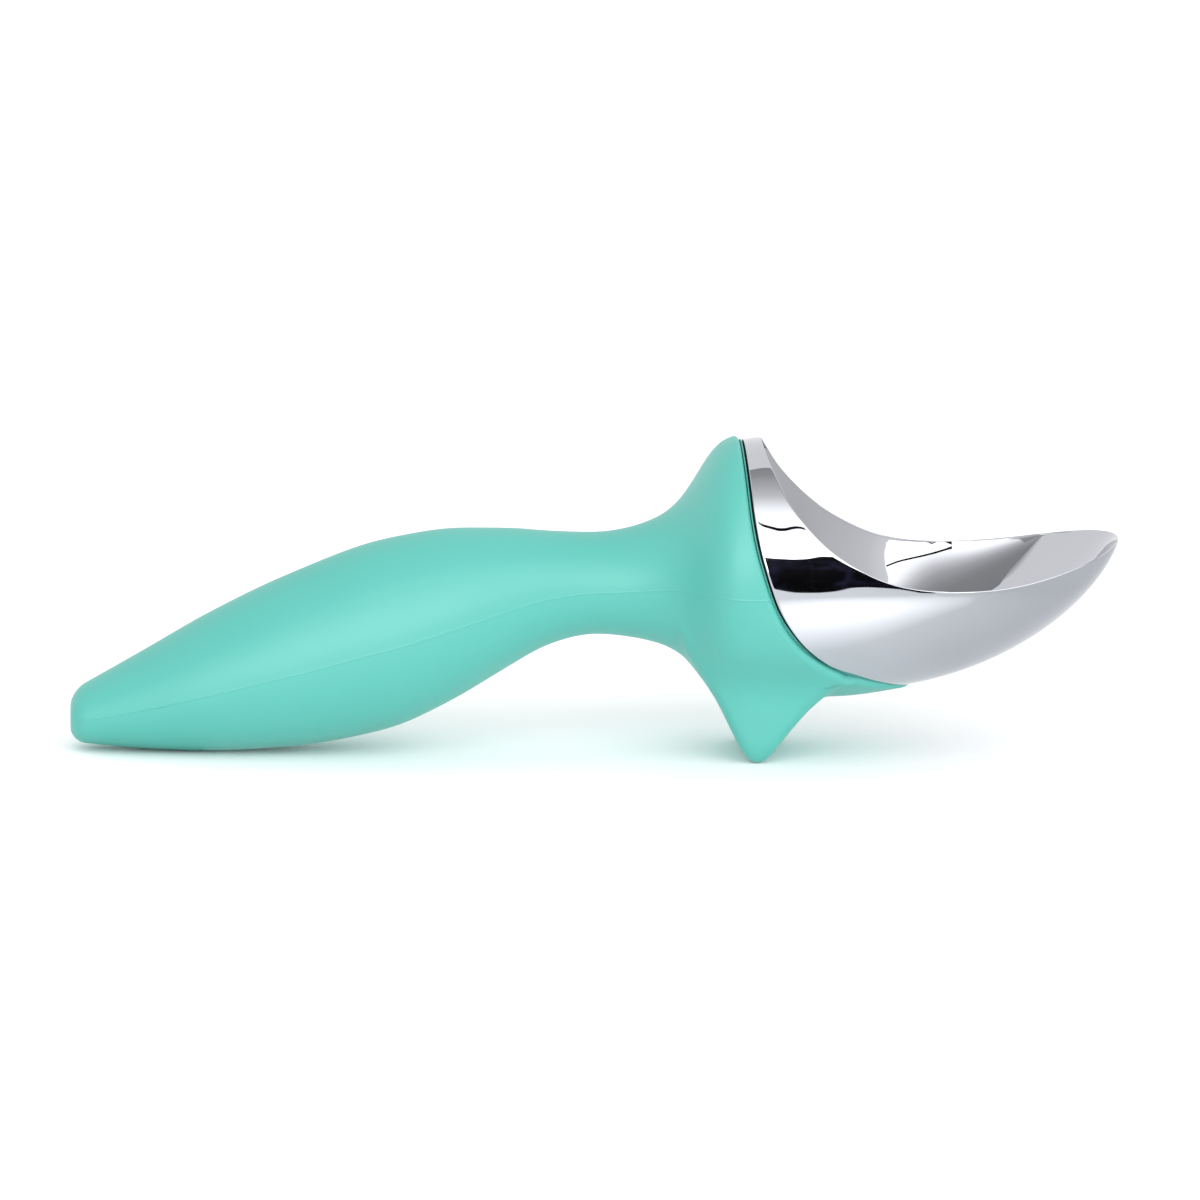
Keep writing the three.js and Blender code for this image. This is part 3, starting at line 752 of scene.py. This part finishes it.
low_line_angles = lower_angles(np.array([0.0]))[:, 0]
line_angles = np.concatenate([low_line_angles, high_angles[1:]])
rim_places = np.concatenate([np.full(LOW_LINES, MOUTH_LOW_X), sweep_place(high_angles)[1:]])
nose_angles = lower_angles(nose_places)
chrome_edge = moved_edge(*CHROME_START)
back_places = meet_edge(bowl_height(0.0), line_angles, chrome_edge)


def outer_point(place, angle):
    """The outer skin, which turns in a little along the handle."""
    plain = bowl_point(place, angle)
    distance = distance_to(chrome_edge, plain[..., 0], plain[..., 2])
    edge = BACK_EDGE_DROP * np.clip(1 - distance / BACK_EDGE_EASE, 0, 1) ** 2
    top = TOP_DROP * np.clip(1 - distance / TOP_EASE, 0, 1) ** TOP_POWER * ease(angle, *TOP_TURN)
    return bowl_point(place, angle, edge + top)


def inner_point(place, angle):
    outside = bowl_point(place, angle)
    depth = distance_to(mouth_curve, outside[..., 0], outside[..., 2])
    flare = flare_depth(place)
    depth = np.minimum(depth, flare)
    inset = RIM_WALL + RIM_SLOPE * depth * (1 - depth / (2 * flare))
    corner = mix(CAVITY_CORNER, TOP_CORNER, ease(angle, *CORNER_TURN))
    drawn = corner_inset(np.maximum(place - CAVITY_BACK_X, 0), corner)
    return bowl_point(place, angle, inset, drawn)


def outer_skin():
    shares = np.linspace(0, 1, BACK_STEPS) ** BACK_CROWDING
    places = mix(back_places[:, None], rim_places[:, None], shares)
    back = outer_point(places, np.broadcast_to(line_angles[:, None], places.shape))
    nose = bowl_point(nose_places, nose_angles)
    return back, nose


def inner_skin():
    shares = np.linspace(1, 0, INNER_STEPS) ** INNER_CROWDING
    places = mix(CAVITY_BACK_X, rim_places[:, None], shares)
    hollow = inner_point(places, np.broadcast_to(line_angles[:, None], places.shape))
    middle = np.array([CAVITY_BACK_X, 0, BOWL_AXIS])
    wall = mix(hollow[:, -1:], middle, np.linspace(0, 1, WALL_STEPS)[1:, None])
    nose = inner_point(np.broadcast_to(nose_places, nose_angles.shape), nose_angles)
    return np.concatenate([hollow, wall], 1), nose


# %% Bowl assembly
RIM_TURNS = np.linspace(0, math.pi, 7)
BOSS_RADIUS, BOSS_LENGTH, BOSS_BORE, TANG_SEAT = 7.5, 9.0, 4.3, 3.0
TANG_DROP = 4.75 / 30.1
SEAT_STEPS, BOSS_SINK = 6, 0.8


def rim_edge(outer_rim, inner_rim, inside):
    """A rounded edge from the outer to the inner rim."""
    middle = (outer_rim + inner_rim) / 2
    out = (outer_rim - inner_rim) / 2
    run = np.gradient(middle, axis=0)
    up = np.cross(run, out)
    up /= np.maximum(np.linalg.norm(up, axis=1), 1e-9)[:, None]
    up *= np.sign(np.sum(up * (outer_rim - inside), axis=1))[:, None]
    up *= np.linalg.norm(out, axis=1)[:, None]
    up[-1, 1] = 0
    turns = RIM_TURNS[:, None, None]
    return middle + out * np.cos(turns) + up * np.sin(turns)


def boss_ring(distance, radius):
    """A ring of points around the tilted bar that joins bowl and handle."""
    back = np.array([-1, 0, -TANG_DROP]) / math.hypot(1, TANG_DROP)
    upward = np.array([-back[2], 0, back[0]]) * -1
    middle = np.array([CAVITY_BACK_X - TANG_SEAT, 0, BOWL_AXIS]) + back * distance
    side = np.cos(line_angles)[:, None] * np.array([0, 1, 0])
    return middle + radius * (side + np.sin(line_angles)[:, None] * upward)


def bowl_seat():
    """The part of the bowl that sits in the handle, from the outer skin to the bore of the boss."""
    shares = np.linspace(0, 1, SEAT_STEPS)
    seat = [bowl_point(mix(back_places, BOWL_BACK_X, share), line_angles, BOWL_STEP) for share in shares]
    boss_end = TANG_SEAT + BOSS_LENGTH
    boss = [boss_ring(TANG_SEAT - BOSS_SINK, BOSS_RADIUS), boss_ring(boss_end, BOSS_RADIUS)]
    bore = [boss_ring(boss_end, BOSS_BORE), boss_ring(0, BOSS_BORE), boss_ring(0, 0)]
    start = outer_point(back_places, line_angles)
    return np.stack([start, *seat, *boss, *bore])


def make_bowl():
    sheets = Sheets()
    outer_back, outer_nose = outer_skin()
    inner_back, inner_nose = inner_skin()
    sheets.sheet(outer_back)
    sheets.sheet(inner_back)
    for back, nose in ((outer_back[:, -1:], outer_nose), (inner_back[:, :1], inner_nose)):
        sheets.sheet(np.concatenate([back[:LOW_LINES], nose], 1))
    rim = []
    for back, nose, column in ((outer_back, outer_nose, -1), (inner_back, inner_nose, 0)):
        rim.append(np.concatenate([nose[-1, ::-1], back[LOW_LINES - 1:, column]]))
    inside = np.concatenate([outer_nose[-2, ::-1], outer_back[LOW_LINES - 1:, -2]])
    sheets.sheet(rim_edge(rim[0], rim[1], inside))
    # painted shade: the seat from here on gets a near black finish, so the gap at the ring looks black
    sheets.second_finish = len(sheets.faces)
    sheets.sheet(bowl_seat())
    return sheets.piece("polished_bowl", mirrored=True)


polished_bowl = make_bowl()

# %% [markdown]
# ## Shared effects
# Moulded plastic has a very fine grain from the mould and slow changes of tone. Metal that has been wiped
# and used carries hair-fine scratches. Each effect is built once as a node group that puts out values
# that change over the surface, and every material that needs it sets its own scale.

# %% Node groups
def new_group(name, inputs, outputs):
    group = bpy.data.node_groups.new(name, "ShaderNodeTree")
    for label, value in inputs:
        socket = group.interface.new_socket(label, in_out="INPUT", socket_type="NodeSocketFloat")
        socket.default_value = value
    for label in outputs:
        group.interface.new_socket(label, in_out="OUTPUT", socket_type="NodeSocketFloat")
    start = group.nodes.new("NodeGroupInput")
    end = group.nodes.new("NodeGroupOutput")
    place = group.nodes.new("ShaderNodeTexCoord").outputs["Object"]
    return group, start, end, place


def noise_node(tree, place, scale, detail=2.0, roughness=0.5):
    node = tree.nodes.new("ShaderNodeTexNoise")
    tree.links.new(place, node.inputs["Vector"])
    node.inputs["Detail"].default_value = detail
    node.inputs["Roughness"].default_value = roughness
    if isinstance(scale, bpy.types.NodeSocket):
        tree.links.new(scale, node.inputs["Scale"])
    else:
        node.inputs["Scale"].default_value = scale
    return node.outputs["Fac"]


def ranged(tree, value, low, high, to_low, to_high):
    node = tree.nodes.new("ShaderNodeMapRange")
    node.inputs["From Min"].default_value = low
    node.inputs["From Max"].default_value = high
    node.inputs["To Min"].default_value = to_low
    node.inputs["To Max"].default_value = to_high
    tree.links.new(value, node.inputs["Value"])
    return node.outputs["Result"]


def maths(tree, kind, a, b):
    node = tree.nodes.new("ShaderNodeMath")
    node.operation = kind
    for socket, value in zip(node.inputs, (a, b)):
        if isinstance(value, bpy.types.NodeSocket):
            tree.links.new(value, socket)
        else:
            socket.default_value = value
    return node.outputs["Value"]


TONE_RANGE = (0.3, 0.7)
SCRATCH_TURNS = (0.35, 1.2, 2.4)
SCRATCH_TILT = (0.6, 1.0, 1.7)
SCRATCH_STRETCH = 26.0
SCRATCH_RANGE = (0.72, 0.8)
SMEAR_SCALE = 22.0
SMEAR_RANGE = (0.35, 0.7)


def moulded_grain():
    scales = [("Grain", 1800.0), ("Tone", 18.0)]
    group, start, end, place = new_group("moulded_grain", scales, ["Height", "Tone"])
    fine = noise_node(group, place, start.outputs["Grain"], detail=2.0, roughness=0.6)
    group.links.new(fine, end.inputs["Height"])
    tone = noise_node(group, place, start.outputs["Tone"], detail=3.0, roughness=0.5)
    group.links.new(ranged(group, tone, *TONE_RANGE, 0, 1), end.inputs["Tone"])
    return group


def hair_scratches():
    group, start, end, place = new_group("hair_scratches", [("Scale", 40.0)], ["Scratch", "Smear"])
    layers = []
    for turn in SCRATCH_TURNS:
        mapping = group.nodes.new("ShaderNodeMapping")
        mapping.inputs["Rotation"].default_value = [turn * tilt for tilt in SCRATCH_TILT]
        mapping.inputs["Scale"].default_value = (1.0, SCRATCH_STRETCH, SCRATCH_STRETCH)
        group.links.new(place, mapping.inputs["Vector"])
        turned = mapping.outputs["Vector"]
        streak = noise_node(group, turned, start.outputs["Scale"], detail=1.0, roughness=0.4)
        layers.append(ranged(group, streak, *SCRATCH_RANGE, 0, 1))
    both = maths(group, "MAXIMUM", layers[0], layers[1])
    group.links.new(maths(group, "MAXIMUM", both, layers[2]), end.inputs["Scratch"])
    smear = noise_node(group, place, SMEAR_SCALE, detail=3.0, roughness=0.6)
    group.links.new(ranged(group, smear, *SMEAR_RANGE, 0, 1), end.inputs["Smear"])
    return group


grain_group = moulded_grain()
scratch_group = hair_scratches()
print("node groups:", [group.name for group in bpy.data.node_groups])

# %% [markdown]
# ## Finishes
# The handle is mint green nylon with a soft sheen, the ring at the bowl is its green darkened as painted
# shade, and the bowl is bright chrome with a seat painted near black as shade. The pieces hidden in the
# handle get plain moulded and drawn steel finishes. Numbers that are the same all over a surface are set
# on the shader itself.

# %% Materials
PLASTIC_HAZE, PLASTIC_SHEEN, PLASTIC_BUMP = 0.04, 0.03, 0.35
METAL_HAZE, METAL_BUMP = 0.02, 0.1
NYLON_LIGHT, NYLON_DEEP = (0.077, 0.4, 0.346), (0.073, 0.388, 0.334)
# painted shade: the ring is the handle's green darkened for its sunken place
RING_SHADE_PALE, RING_SHADE_DARK = (0.045, 0.3, 0.25), (0.04, 0.28, 0.23)
# painted shade: a near black seat, so the narrow gap at the ring looks black
SEAT_SHADE_PALE, SEAT_SHADE_DARK = (0.004, 0.004, 0.004), (0.003, 0.003, 0.003)
CORE_LIGHT, CORE_DEEP = (0.07, 0.36, 0.3), (0.06, 0.32, 0.27)
CHROME_LIGHT, CHROME_DEEP = (0.5, 0.51, 0.54), (0.485, 0.495, 0.53)
STEEL_LIGHT, STEEL_DEEP = (0.56, 0.57, 0.58), (0.5, 0.51, 0.52)


def new_material(name, roughness, metallic):
    material = bpy.data.materials.new(name)
    material.use_nodes = True
    tree = material.node_tree
    shader = tree.nodes["Principled BSDF"]
    shader.inputs["Roughness"].default_value = roughness
    shader.inputs["Metallic"].default_value = metallic
    return material, tree, shader


def use_group(tree, group, **values):
    node = tree.nodes.new("ShaderNodeGroup")
    node.node_tree = group
    for label, value in values.items():
        node.inputs[label].default_value = value
    return node


def blended(tree, share, first, second):
    node = tree.nodes.new("ShaderNodeMix")
    node.data_type = "RGBA"
    node.inputs["A"].default_value = (*first, 1)
    node.inputs["B"].default_value = (*second, 1)
    tree.links.new(share, node.inputs["Factor"])
    return node.outputs["Result"]


def bumped(tree, shader, height, strength, distance):
    bump = tree.nodes.new("ShaderNodeBump")
    bump.inputs["Strength"].default_value = strength
    bump.inputs["Distance"].default_value = distance
    tree.links.new(height, bump.inputs["Height"])
    tree.links.new(bump.outputs["Normal"], shader.inputs["Normal"])


def plastic(name, light, deep, roughness, grain, depth):
    material, tree, shader = new_material(name, roughness, 0.0)
    effect = use_group(tree, grain_group, Grain=grain)
    tree.links.new(blended(tree, effect.outputs["Tone"], deep, light), shader.inputs["Base Color"])
    gloss = ranged(tree, effect.outputs["Tone"], 0, 1, roughness + PLASTIC_HAZE, roughness - PLASTIC_SHEEN)
    tree.links.new(gloss, shader.inputs["Roughness"])
    bumped(tree, shader, effect.outputs["Height"], PLASTIC_BUMP, depth)
    return material


def metal(name, light, deep, smooth, scratched, scale, depth):
    material, tree, shader = new_material(name, smooth, 1.0)
    effect = use_group(tree, scratch_group, Scale=scale)
    tree.links.new(blended(tree, effect.outputs["Smear"], light, deep), shader.inputs["Base Color"])
    worn = maths(tree, "MULTIPLY", effect.outputs["Scratch"], scratched)
    haze = ranged(tree, effect.outputs["Smear"], 0, 1, smooth, smooth + METAL_HAZE)
    tree.links.new(maths(tree, "ADD", worn, haze), shader.inputs["Roughness"])
    bumped(tree, shader, effect.outputs["Scratch"], METAL_BUMP, depth)
    return material


mint_nylon = plastic("mint_nylon", NYLON_LIGHT, NYLON_DEEP, roughness=0.45, grain=2200.0, depth=0.00003)
# painted shade: the handle's green, darkened for the sunken ring
shaded_mint = plastic("shaded_mint", RING_SHADE_PALE, RING_SHADE_DARK, roughness=0.5, grain=2600.0, depth=0.00003)
# painted shade: near black on the bowl's seat, standing in for the shade of the ring gap
painted_seat_shade = plastic("painted_seat_shade", SEAT_SHADE_PALE, SEAT_SHADE_DARK, roughness=0.8, grain=900.0, depth=0.00003)
core_nylon = plastic("core_nylon", CORE_LIGHT, CORE_DEEP, roughness=0.6, grain=900.0, depth=0.00006)
bright_chrome = metal(
    "bright_chrome", CHROME_LIGHT, CHROME_DEEP, smooth=0.02, scratched=0.06, scale=40.0, depth=0.000002
)
drawn_steel = metal(
    "drawn_steel", STEEL_LIGHT, STEEL_DEEP, smooth=0.28, scratched=0.2, scale=70.0, depth=0.00001
)
print("materials:", [material.name for material in bpy.data.materials])

# %% [markdown]
# ## Dressing the frame
# Each new piece rides on the one rigid body of the scoop and stands for its CAD node. The hidden pieces
# keep their CAD meshes, because their shapes are right, and only get better materials.

# %% Pieces and nodes
DRESSED = [
    (polished_bowl, "scoop_bowl", "chrome", [bright_chrome, painted_seat_shade]),
    (rim_ring, "rim_seal", "seal", [shaded_mint]),
    (upper_shell, "upper_shell", "nylon", [mint_nylon]),
    (lower_shell, "lower_shell", "nylon", [mint_nylon]),
]
for piece, node, slot, materials in DRESSED:
    for material in materials:
        piece.data.materials.append(material)
    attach(piece, "root")
    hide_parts(node)

HIDDEN = {"handle_core": core_nylon}
for node in ("tang_rod", "tang_pin", "dowel_left", "dowel_right", "rear_dowel"):
    HIDDEN[node] = drawn_steel
for node, material in HIDDEN.items():
    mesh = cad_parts[node].data
    mesh.materials.clear()
    mesh.materials.append(material)
print("dressed:", [piece.name for piece, *_ in DRESSED], "kept:", sorted(HIDDEN))

# %% [markdown]
# ## Table and cards
# The scoop stands on a plain white table. Polished metal shows what stands around it, so photographers
# place cards: a low dark card in front of the scoop gives the black band along the side of the bowl, and
# a cable and a thread give the fine lines. The cards are seen only in reflections. Their places were
# found by following the mirrored lines of sight back from the photograph.

# %% Table and cards
FLOOR_LIGHT, FLOOR_DEEP = (0.97, 0.975, 0.98), (0.96, 0.965, 0.97)
BLACK, NEAR_BLACK, DARK_BLUE = (0.004, 0.004, 0.005), (0.01, 0.01, 0.01), (0.02, 0.02, 0.045)
SHEET_ROUGHNESS, SHEET_CLOUDS, CLOUD_RANGE = 0.9, 30.0, (0.5, 0.75)


def stage_sheet(name, rows, light, deep):
    """A card or a table top from rows of points, in millimetres."""
    sheets = Sheets()
    sheets.sheet(np.array(rows, float))
    card = sheets.piece(name)
    material, tree, shader = new_material(name, SHEET_ROUGHNESS, 0.0)
    cloud = noise_node(tree, tree.nodes.new("ShaderNodeTexCoord").outputs["Object"], SHEET_CLOUDS)
    share = ranged(tree, cloud, *CLOUD_RANGE, 0, 1)
    tree.links.new(blended(tree, share, deep, light), shader.inputs["Base Color"])
    shader.inputs["Specular IOR Level"].default_value = 0.0
    card.data.materials.append(material)
    return card


def reflected_only(card):
    card.visible_camera = False
    card.visible_diffuse = False
    card.visible_shadow = False
    return card


TABLE = 3000
stage_sheet("table", [[(-TABLE, y, 0), (TABLE, y, 0)] for y in (-TABLE, TABLE)], FLOOR_LIGHT, FLOOR_DEEP)

DARK_CARD = [
    (34, -205, 108), (41, -200, 104), (44, -192, 90), (46.5, -156, 77), (49.5, -143, 75), (53, -149, 82),
    (56.5, -159, 84), (59, -172, 88), (62.6, -198, 96), (66.5, -208, 98), (69.6, -198, 94), (72, -180, 86),
    (74.5, -142, 72), (76.5, -136, 68),
]
CARD_STEPS, CARD_LIFT = 90, 0.2
card_top = flowing_curve(DARK_CARD, CARD_STEPS)
card_foot = card_top * (1, 1, 0) + (0, 0, CARD_LIFT)
reflected_only(stage_sheet("dark_card", [card_foot, card_top], DARK_BLUE, BLACK))

CABLE_Y, LINE_Y, LINE_STEPS = -60, 18, 120
CABLE = [
    (35.4, 94.4, 4.0), (36.1, 89.8, 4.2), (38, 85.6, 4.2), (39.2, 83.7, 4.2), (40.5, 83.7, 4.0),
    (41.9, 85.6, 4.0), (43, 86.6, 3.6), (44.2, 85.6, 3.2), (45.4, 81.8, 3.0),
]
LINE = [
    (62.3, 38.3, 0.38), (64.8, 39.7, 0.38), (67.3, 40.75, 0.38), (69.7, 41.65, 0.38), (72.1, 42.45, 0.38),
    (74.5, 43.2, 0.38), (75.5, 43.48, 0.5),
]


def hanging_line(name, points, y):
    """A dark ribbon through points of the side view, given with their widths."""
    x, z, width = flowing_curve(points, LINE_STEPS).T
    rows = [np.stack([x, np.full(len(x), y), z + side * width / 2], -1) for side in (-1, 1)]
    return reflected_only(stage_sheet(name, rows, NEAR_BLACK, BLACK))


hanging_line("dark_cable", CABLE, CABLE_Y)
hanging_line("dark_line", LINE, LINE_Y)

# %% [markdown]
# ## Lit sheets
# A sheet of cloth hangs above the scoop. It is dark at its rear edge and bright at the front, and it
# gives the grey band with a sharp edge that crosses the hollow. A smaller strip does the same for the top
# of the bowl. Two grey cards in the hollow give its far side an even grey. They let light through from
# the other side, so the rest of the hollow doesn't mirror them. A copy of the table, darker than the table
# as painted shade, carries a long soft spot of painted light, which the side of the bowl shows as a pale
# streak, and a softbox far in front gives the handle its sheen. All are sheets with light of their own that
# only reflections see.

# %% Lit sheets
CLOTH_HEIGHT, CLOTH_FRONT = 110, -57
CLOTH_BACK = [
    (-95, -57), (-60, -45), (0, -26), (21, -19), (34, -13.5), (40, -8), (44, 1), (52, 6), (90, 6),
]
CLOTH_LIGHT = [
    (-57, 2.1), (-53, 1.8), (-51, 1.6), (-46, 1.1), (-42, 0.85), (-39, 0.68), (-32, 0.5), (-26, 0.42),
    (6, 0.38),
]
STRIP_HEIGHT, STRIP_X, STRIP_Y = 75, (26, 47), (-36, -8.6)
STRIP_LIGHT = [
    (-36, 2.1), (-32, 1.85), (-28.4, 1.5), (-23.6, 1.0), (-18.2, 0.75), (-14.8, 0.63), (-12.3, 0.5),
    (-8.6, 0.44),
]
GREY_TOP = [
    (33, 62.4), (60, 62.6), (65.6, 62.2), (66.5, 61.7), (67.8, 61.5), (69, 61.2), (70.5, 61.1), (73, 60.9),
    (78, 55), (85, 45),
]
GREY_Y, GREY_BOTTOM = -10, 20
GREY_LIGHT = [(20, 0.74), (36, 0.78), (46, 0.84), (53.5, 0.91), (58, 1.0), (60, 1.12), (62, 1.2)]
WALL_X, WALL_Y, WALL_Z = 48, (6, 24), (30, 60)
WALL_LIGHT = [(6, 0.76), (14, 0.78), (19, 0.81), (24, 0.84)]
BOX_X, BOX_Y, BOX_Z = (-450, 150), -900, (40, 430)
BOX_LIGHT = [(40, 5.0), (430, 5.0)]
SPOT_X, SPOT_Y, SPOT_LIFT = (-80, 2500), (-420, 2500), 0.15
# painted shade: the copy of the table that reflections see is darker than the table
TABLE_COPY_SHADE = (0.66, 0.675, 0.69)
TABLE_GLOW = [(40, 0.45), (60, 0.37), (80, 0.2), (110, 0.1), (140, 0.0)]
SPOT_MIDDLE, SPOT_TURN, SPOT_REACH = (53, -76), math.radians(-66), (58, 27)
SPOT_LEVEL, SPOT_CORE = 0.9, 0.6


def light_ramp(tree, place, levels):
    """Light levels over a place, given as pairs of place and level."""
    first, last = levels[0][0], levels[-1][0]
    ramp = tree.nodes.new("ShaderNodeValToRGB")
    stops = ramp.color_ramp.elements
    while len(stops) < len(levels):
        stops.new(1.0)
    for stop, (at, level) in zip(stops, levels):
        stop.position = (at - first) / (last - first)
        stop.color = (level, level, level, 1)
    tree.links.new(ranged(tree, place, first, last, 0, 1), ramp.inputs["Fac"])
    return ramp.outputs["Color"]


def lit_sheet(name, rows, light, level_of):
    """A sheet whose own light is worked out from the place on it."""
    card = reflected_only(stage_sheet(name, rows, light, light))
    tree = card.data.materials[0].node_tree
    shader = tree.nodes["Principled BSDF"]
    level = level_of(tree, tree.nodes["Texture Coordinate"].outputs["Object"])
    tree.links.new(level, shader.inputs["Emission Color"])
    shader.inputs["Emission Strength"].default_value = 1.0
    return card


def one_sided(card, way):
    """Lets light through a card from all sides but the one that faces the given way."""
    tree = card.data.materials[0].node_tree
    back = tree.nodes.new("ShaderNodeNewGeometry").outputs["Backfacing"]
    faces_it = card.data.polygons[0].normal.dot(way) > 0
    shown = maths(tree, "SUBTRACT", 1.0, back) if faces_it else back
    tree.links.new(shown, tree.nodes["Principled BSDF"].inputs["Alpha"])


def level_along(axis, levels):
    """Light levels that change along one axis, at places given in millimetres."""
    def level(tree, place):
        split = tree.nodes.new("ShaderNodeSeparateXYZ")
        tree.links.new(place, split.inputs["Vector"])
        return light_ramp(tree, split.outputs[axis], [(at * MM, value) for at, value in levels])
    return level


def spot_level(tree, place):
    oval = tree.nodes.new("ShaderNodeMapping")
    oval.vector_type = "TEXTURE"
    oval.inputs["Location"].default_value = (SPOT_MIDDLE[0] * MM, SPOT_MIDDLE[1] * MM, 0)
    oval.inputs["Rotation"].default_value = (0, 0, SPOT_TURN)
    oval.inputs["Scale"].default_value = (SPOT_REACH[0] * MM, SPOT_REACH[1] * MM, 1)
    tree.links.new(place, oval.inputs["Vector"])
    fade = tree.nodes.new("ShaderNodeTexGradient")
    fade.gradient_type = "SPHERICAL"
    tree.links.new(oval.outputs["Vector"], fade.inputs["Vector"])
    return ranged(tree, fade.outputs["Fac"], 0, SPOT_CORE, 0, SPOT_LEVEL)


def table_level(tree, place):
    """Painted light on the table copy: the spot, and a glow that fades towards the tip of the bowl."""
    glow = level_along("X", TABLE_GLOW)(tree, place)
    return maths(tree, "ADD", spot_level(tree, place), glow)


cloth_back = [(x, y, CLOTH_HEIGHT) for x, y in CLOTH_BACK]
cloth_front = [(x, CLOTH_FRONT, CLOTH_HEIGHT) for x, _ in CLOTH_BACK]
strip_rows = [[(x, y, STRIP_HEIGHT) for x in STRIP_X] for y in STRIP_Y]
grey_rows = [[(x, GREY_Y, GREY_BOTTOM) for x, _ in GREY_TOP], [(x, GREY_Y, z) for x, z in GREY_TOP]]
wall_rows = [[(WALL_X, y, z) for y in WALL_Y] for z in WALL_Z]
box_rows = [[(x, BOX_Y, z) for x in BOX_X] for z in BOX_Z]
spot_rows = [[(x, y, SPOT_LIFT) for x in SPOT_X] for y in SPOT_Y]
lit_sheet("cloth", [cloth_back, cloth_front], BLACK, level_along("Y", CLOTH_LIGHT))
lit_sheet("cloth_strip", strip_rows, BLACK, level_along("Y", STRIP_LIGHT))
grey_card = lit_sheet("grey_card", grey_rows, BLACK, level_along("Z", GREY_LIGHT))
one_sided(grey_card, Vector((0, 1, 0)))
grey_wall = lit_sheet("grey_wall", wall_rows, BLACK, level_along("Y", WALL_LIGHT))
one_sided(grey_wall, Vector((-1, 0, 0)))
lit_sheet("softbox", box_rows, BLACK, level_along("Z", BOX_LIGHT))
# painted light and shade: a darker copy of the table with a glowing spot, seen only in reflections
lit_sheet("table_spot", spot_rows, TABLE_COPY_SHADE, table_level)

# %% [markdown]
# ## The tent
# All other light comes from a tent around the table, which is bright in front and softer behind. A world
# shader is enough for that: it turns the direction of each ray into a light level.

# %% Tent
TENT_AXIS = (-0.35, 1.0, 0.0)
TENT_LIGHT = [
    (-1.0, 2.7), (-0.8, 2.5), (-0.5, 2.1), (-0.36, 0.6), (-0.14, 0.6), (-0.06, 1.15), (1.0, 1.15),
]


def make_tent():
    world = bpy.data.worlds.new("tent")
    world.use_nodes = True
    tree = world.node_tree
    across = tree.nodes.new("ShaderNodeVectorMath")
    across.operation = "DOT_PRODUCT"
    across.inputs[1].default_value = TENT_AXIS
    tree.links.new(tree.nodes.new("ShaderNodeTexCoord").outputs["Generated"], across.inputs[0])
    light = light_ramp(tree, across.outputs["Value"], TENT_LIGHT)
    tree.links.new(light, tree.nodes["Background"].inputs["Color"])
    scene.world = world


make_tent()
scene.view_settings.view_transform = "Standard"
print("stage is ready")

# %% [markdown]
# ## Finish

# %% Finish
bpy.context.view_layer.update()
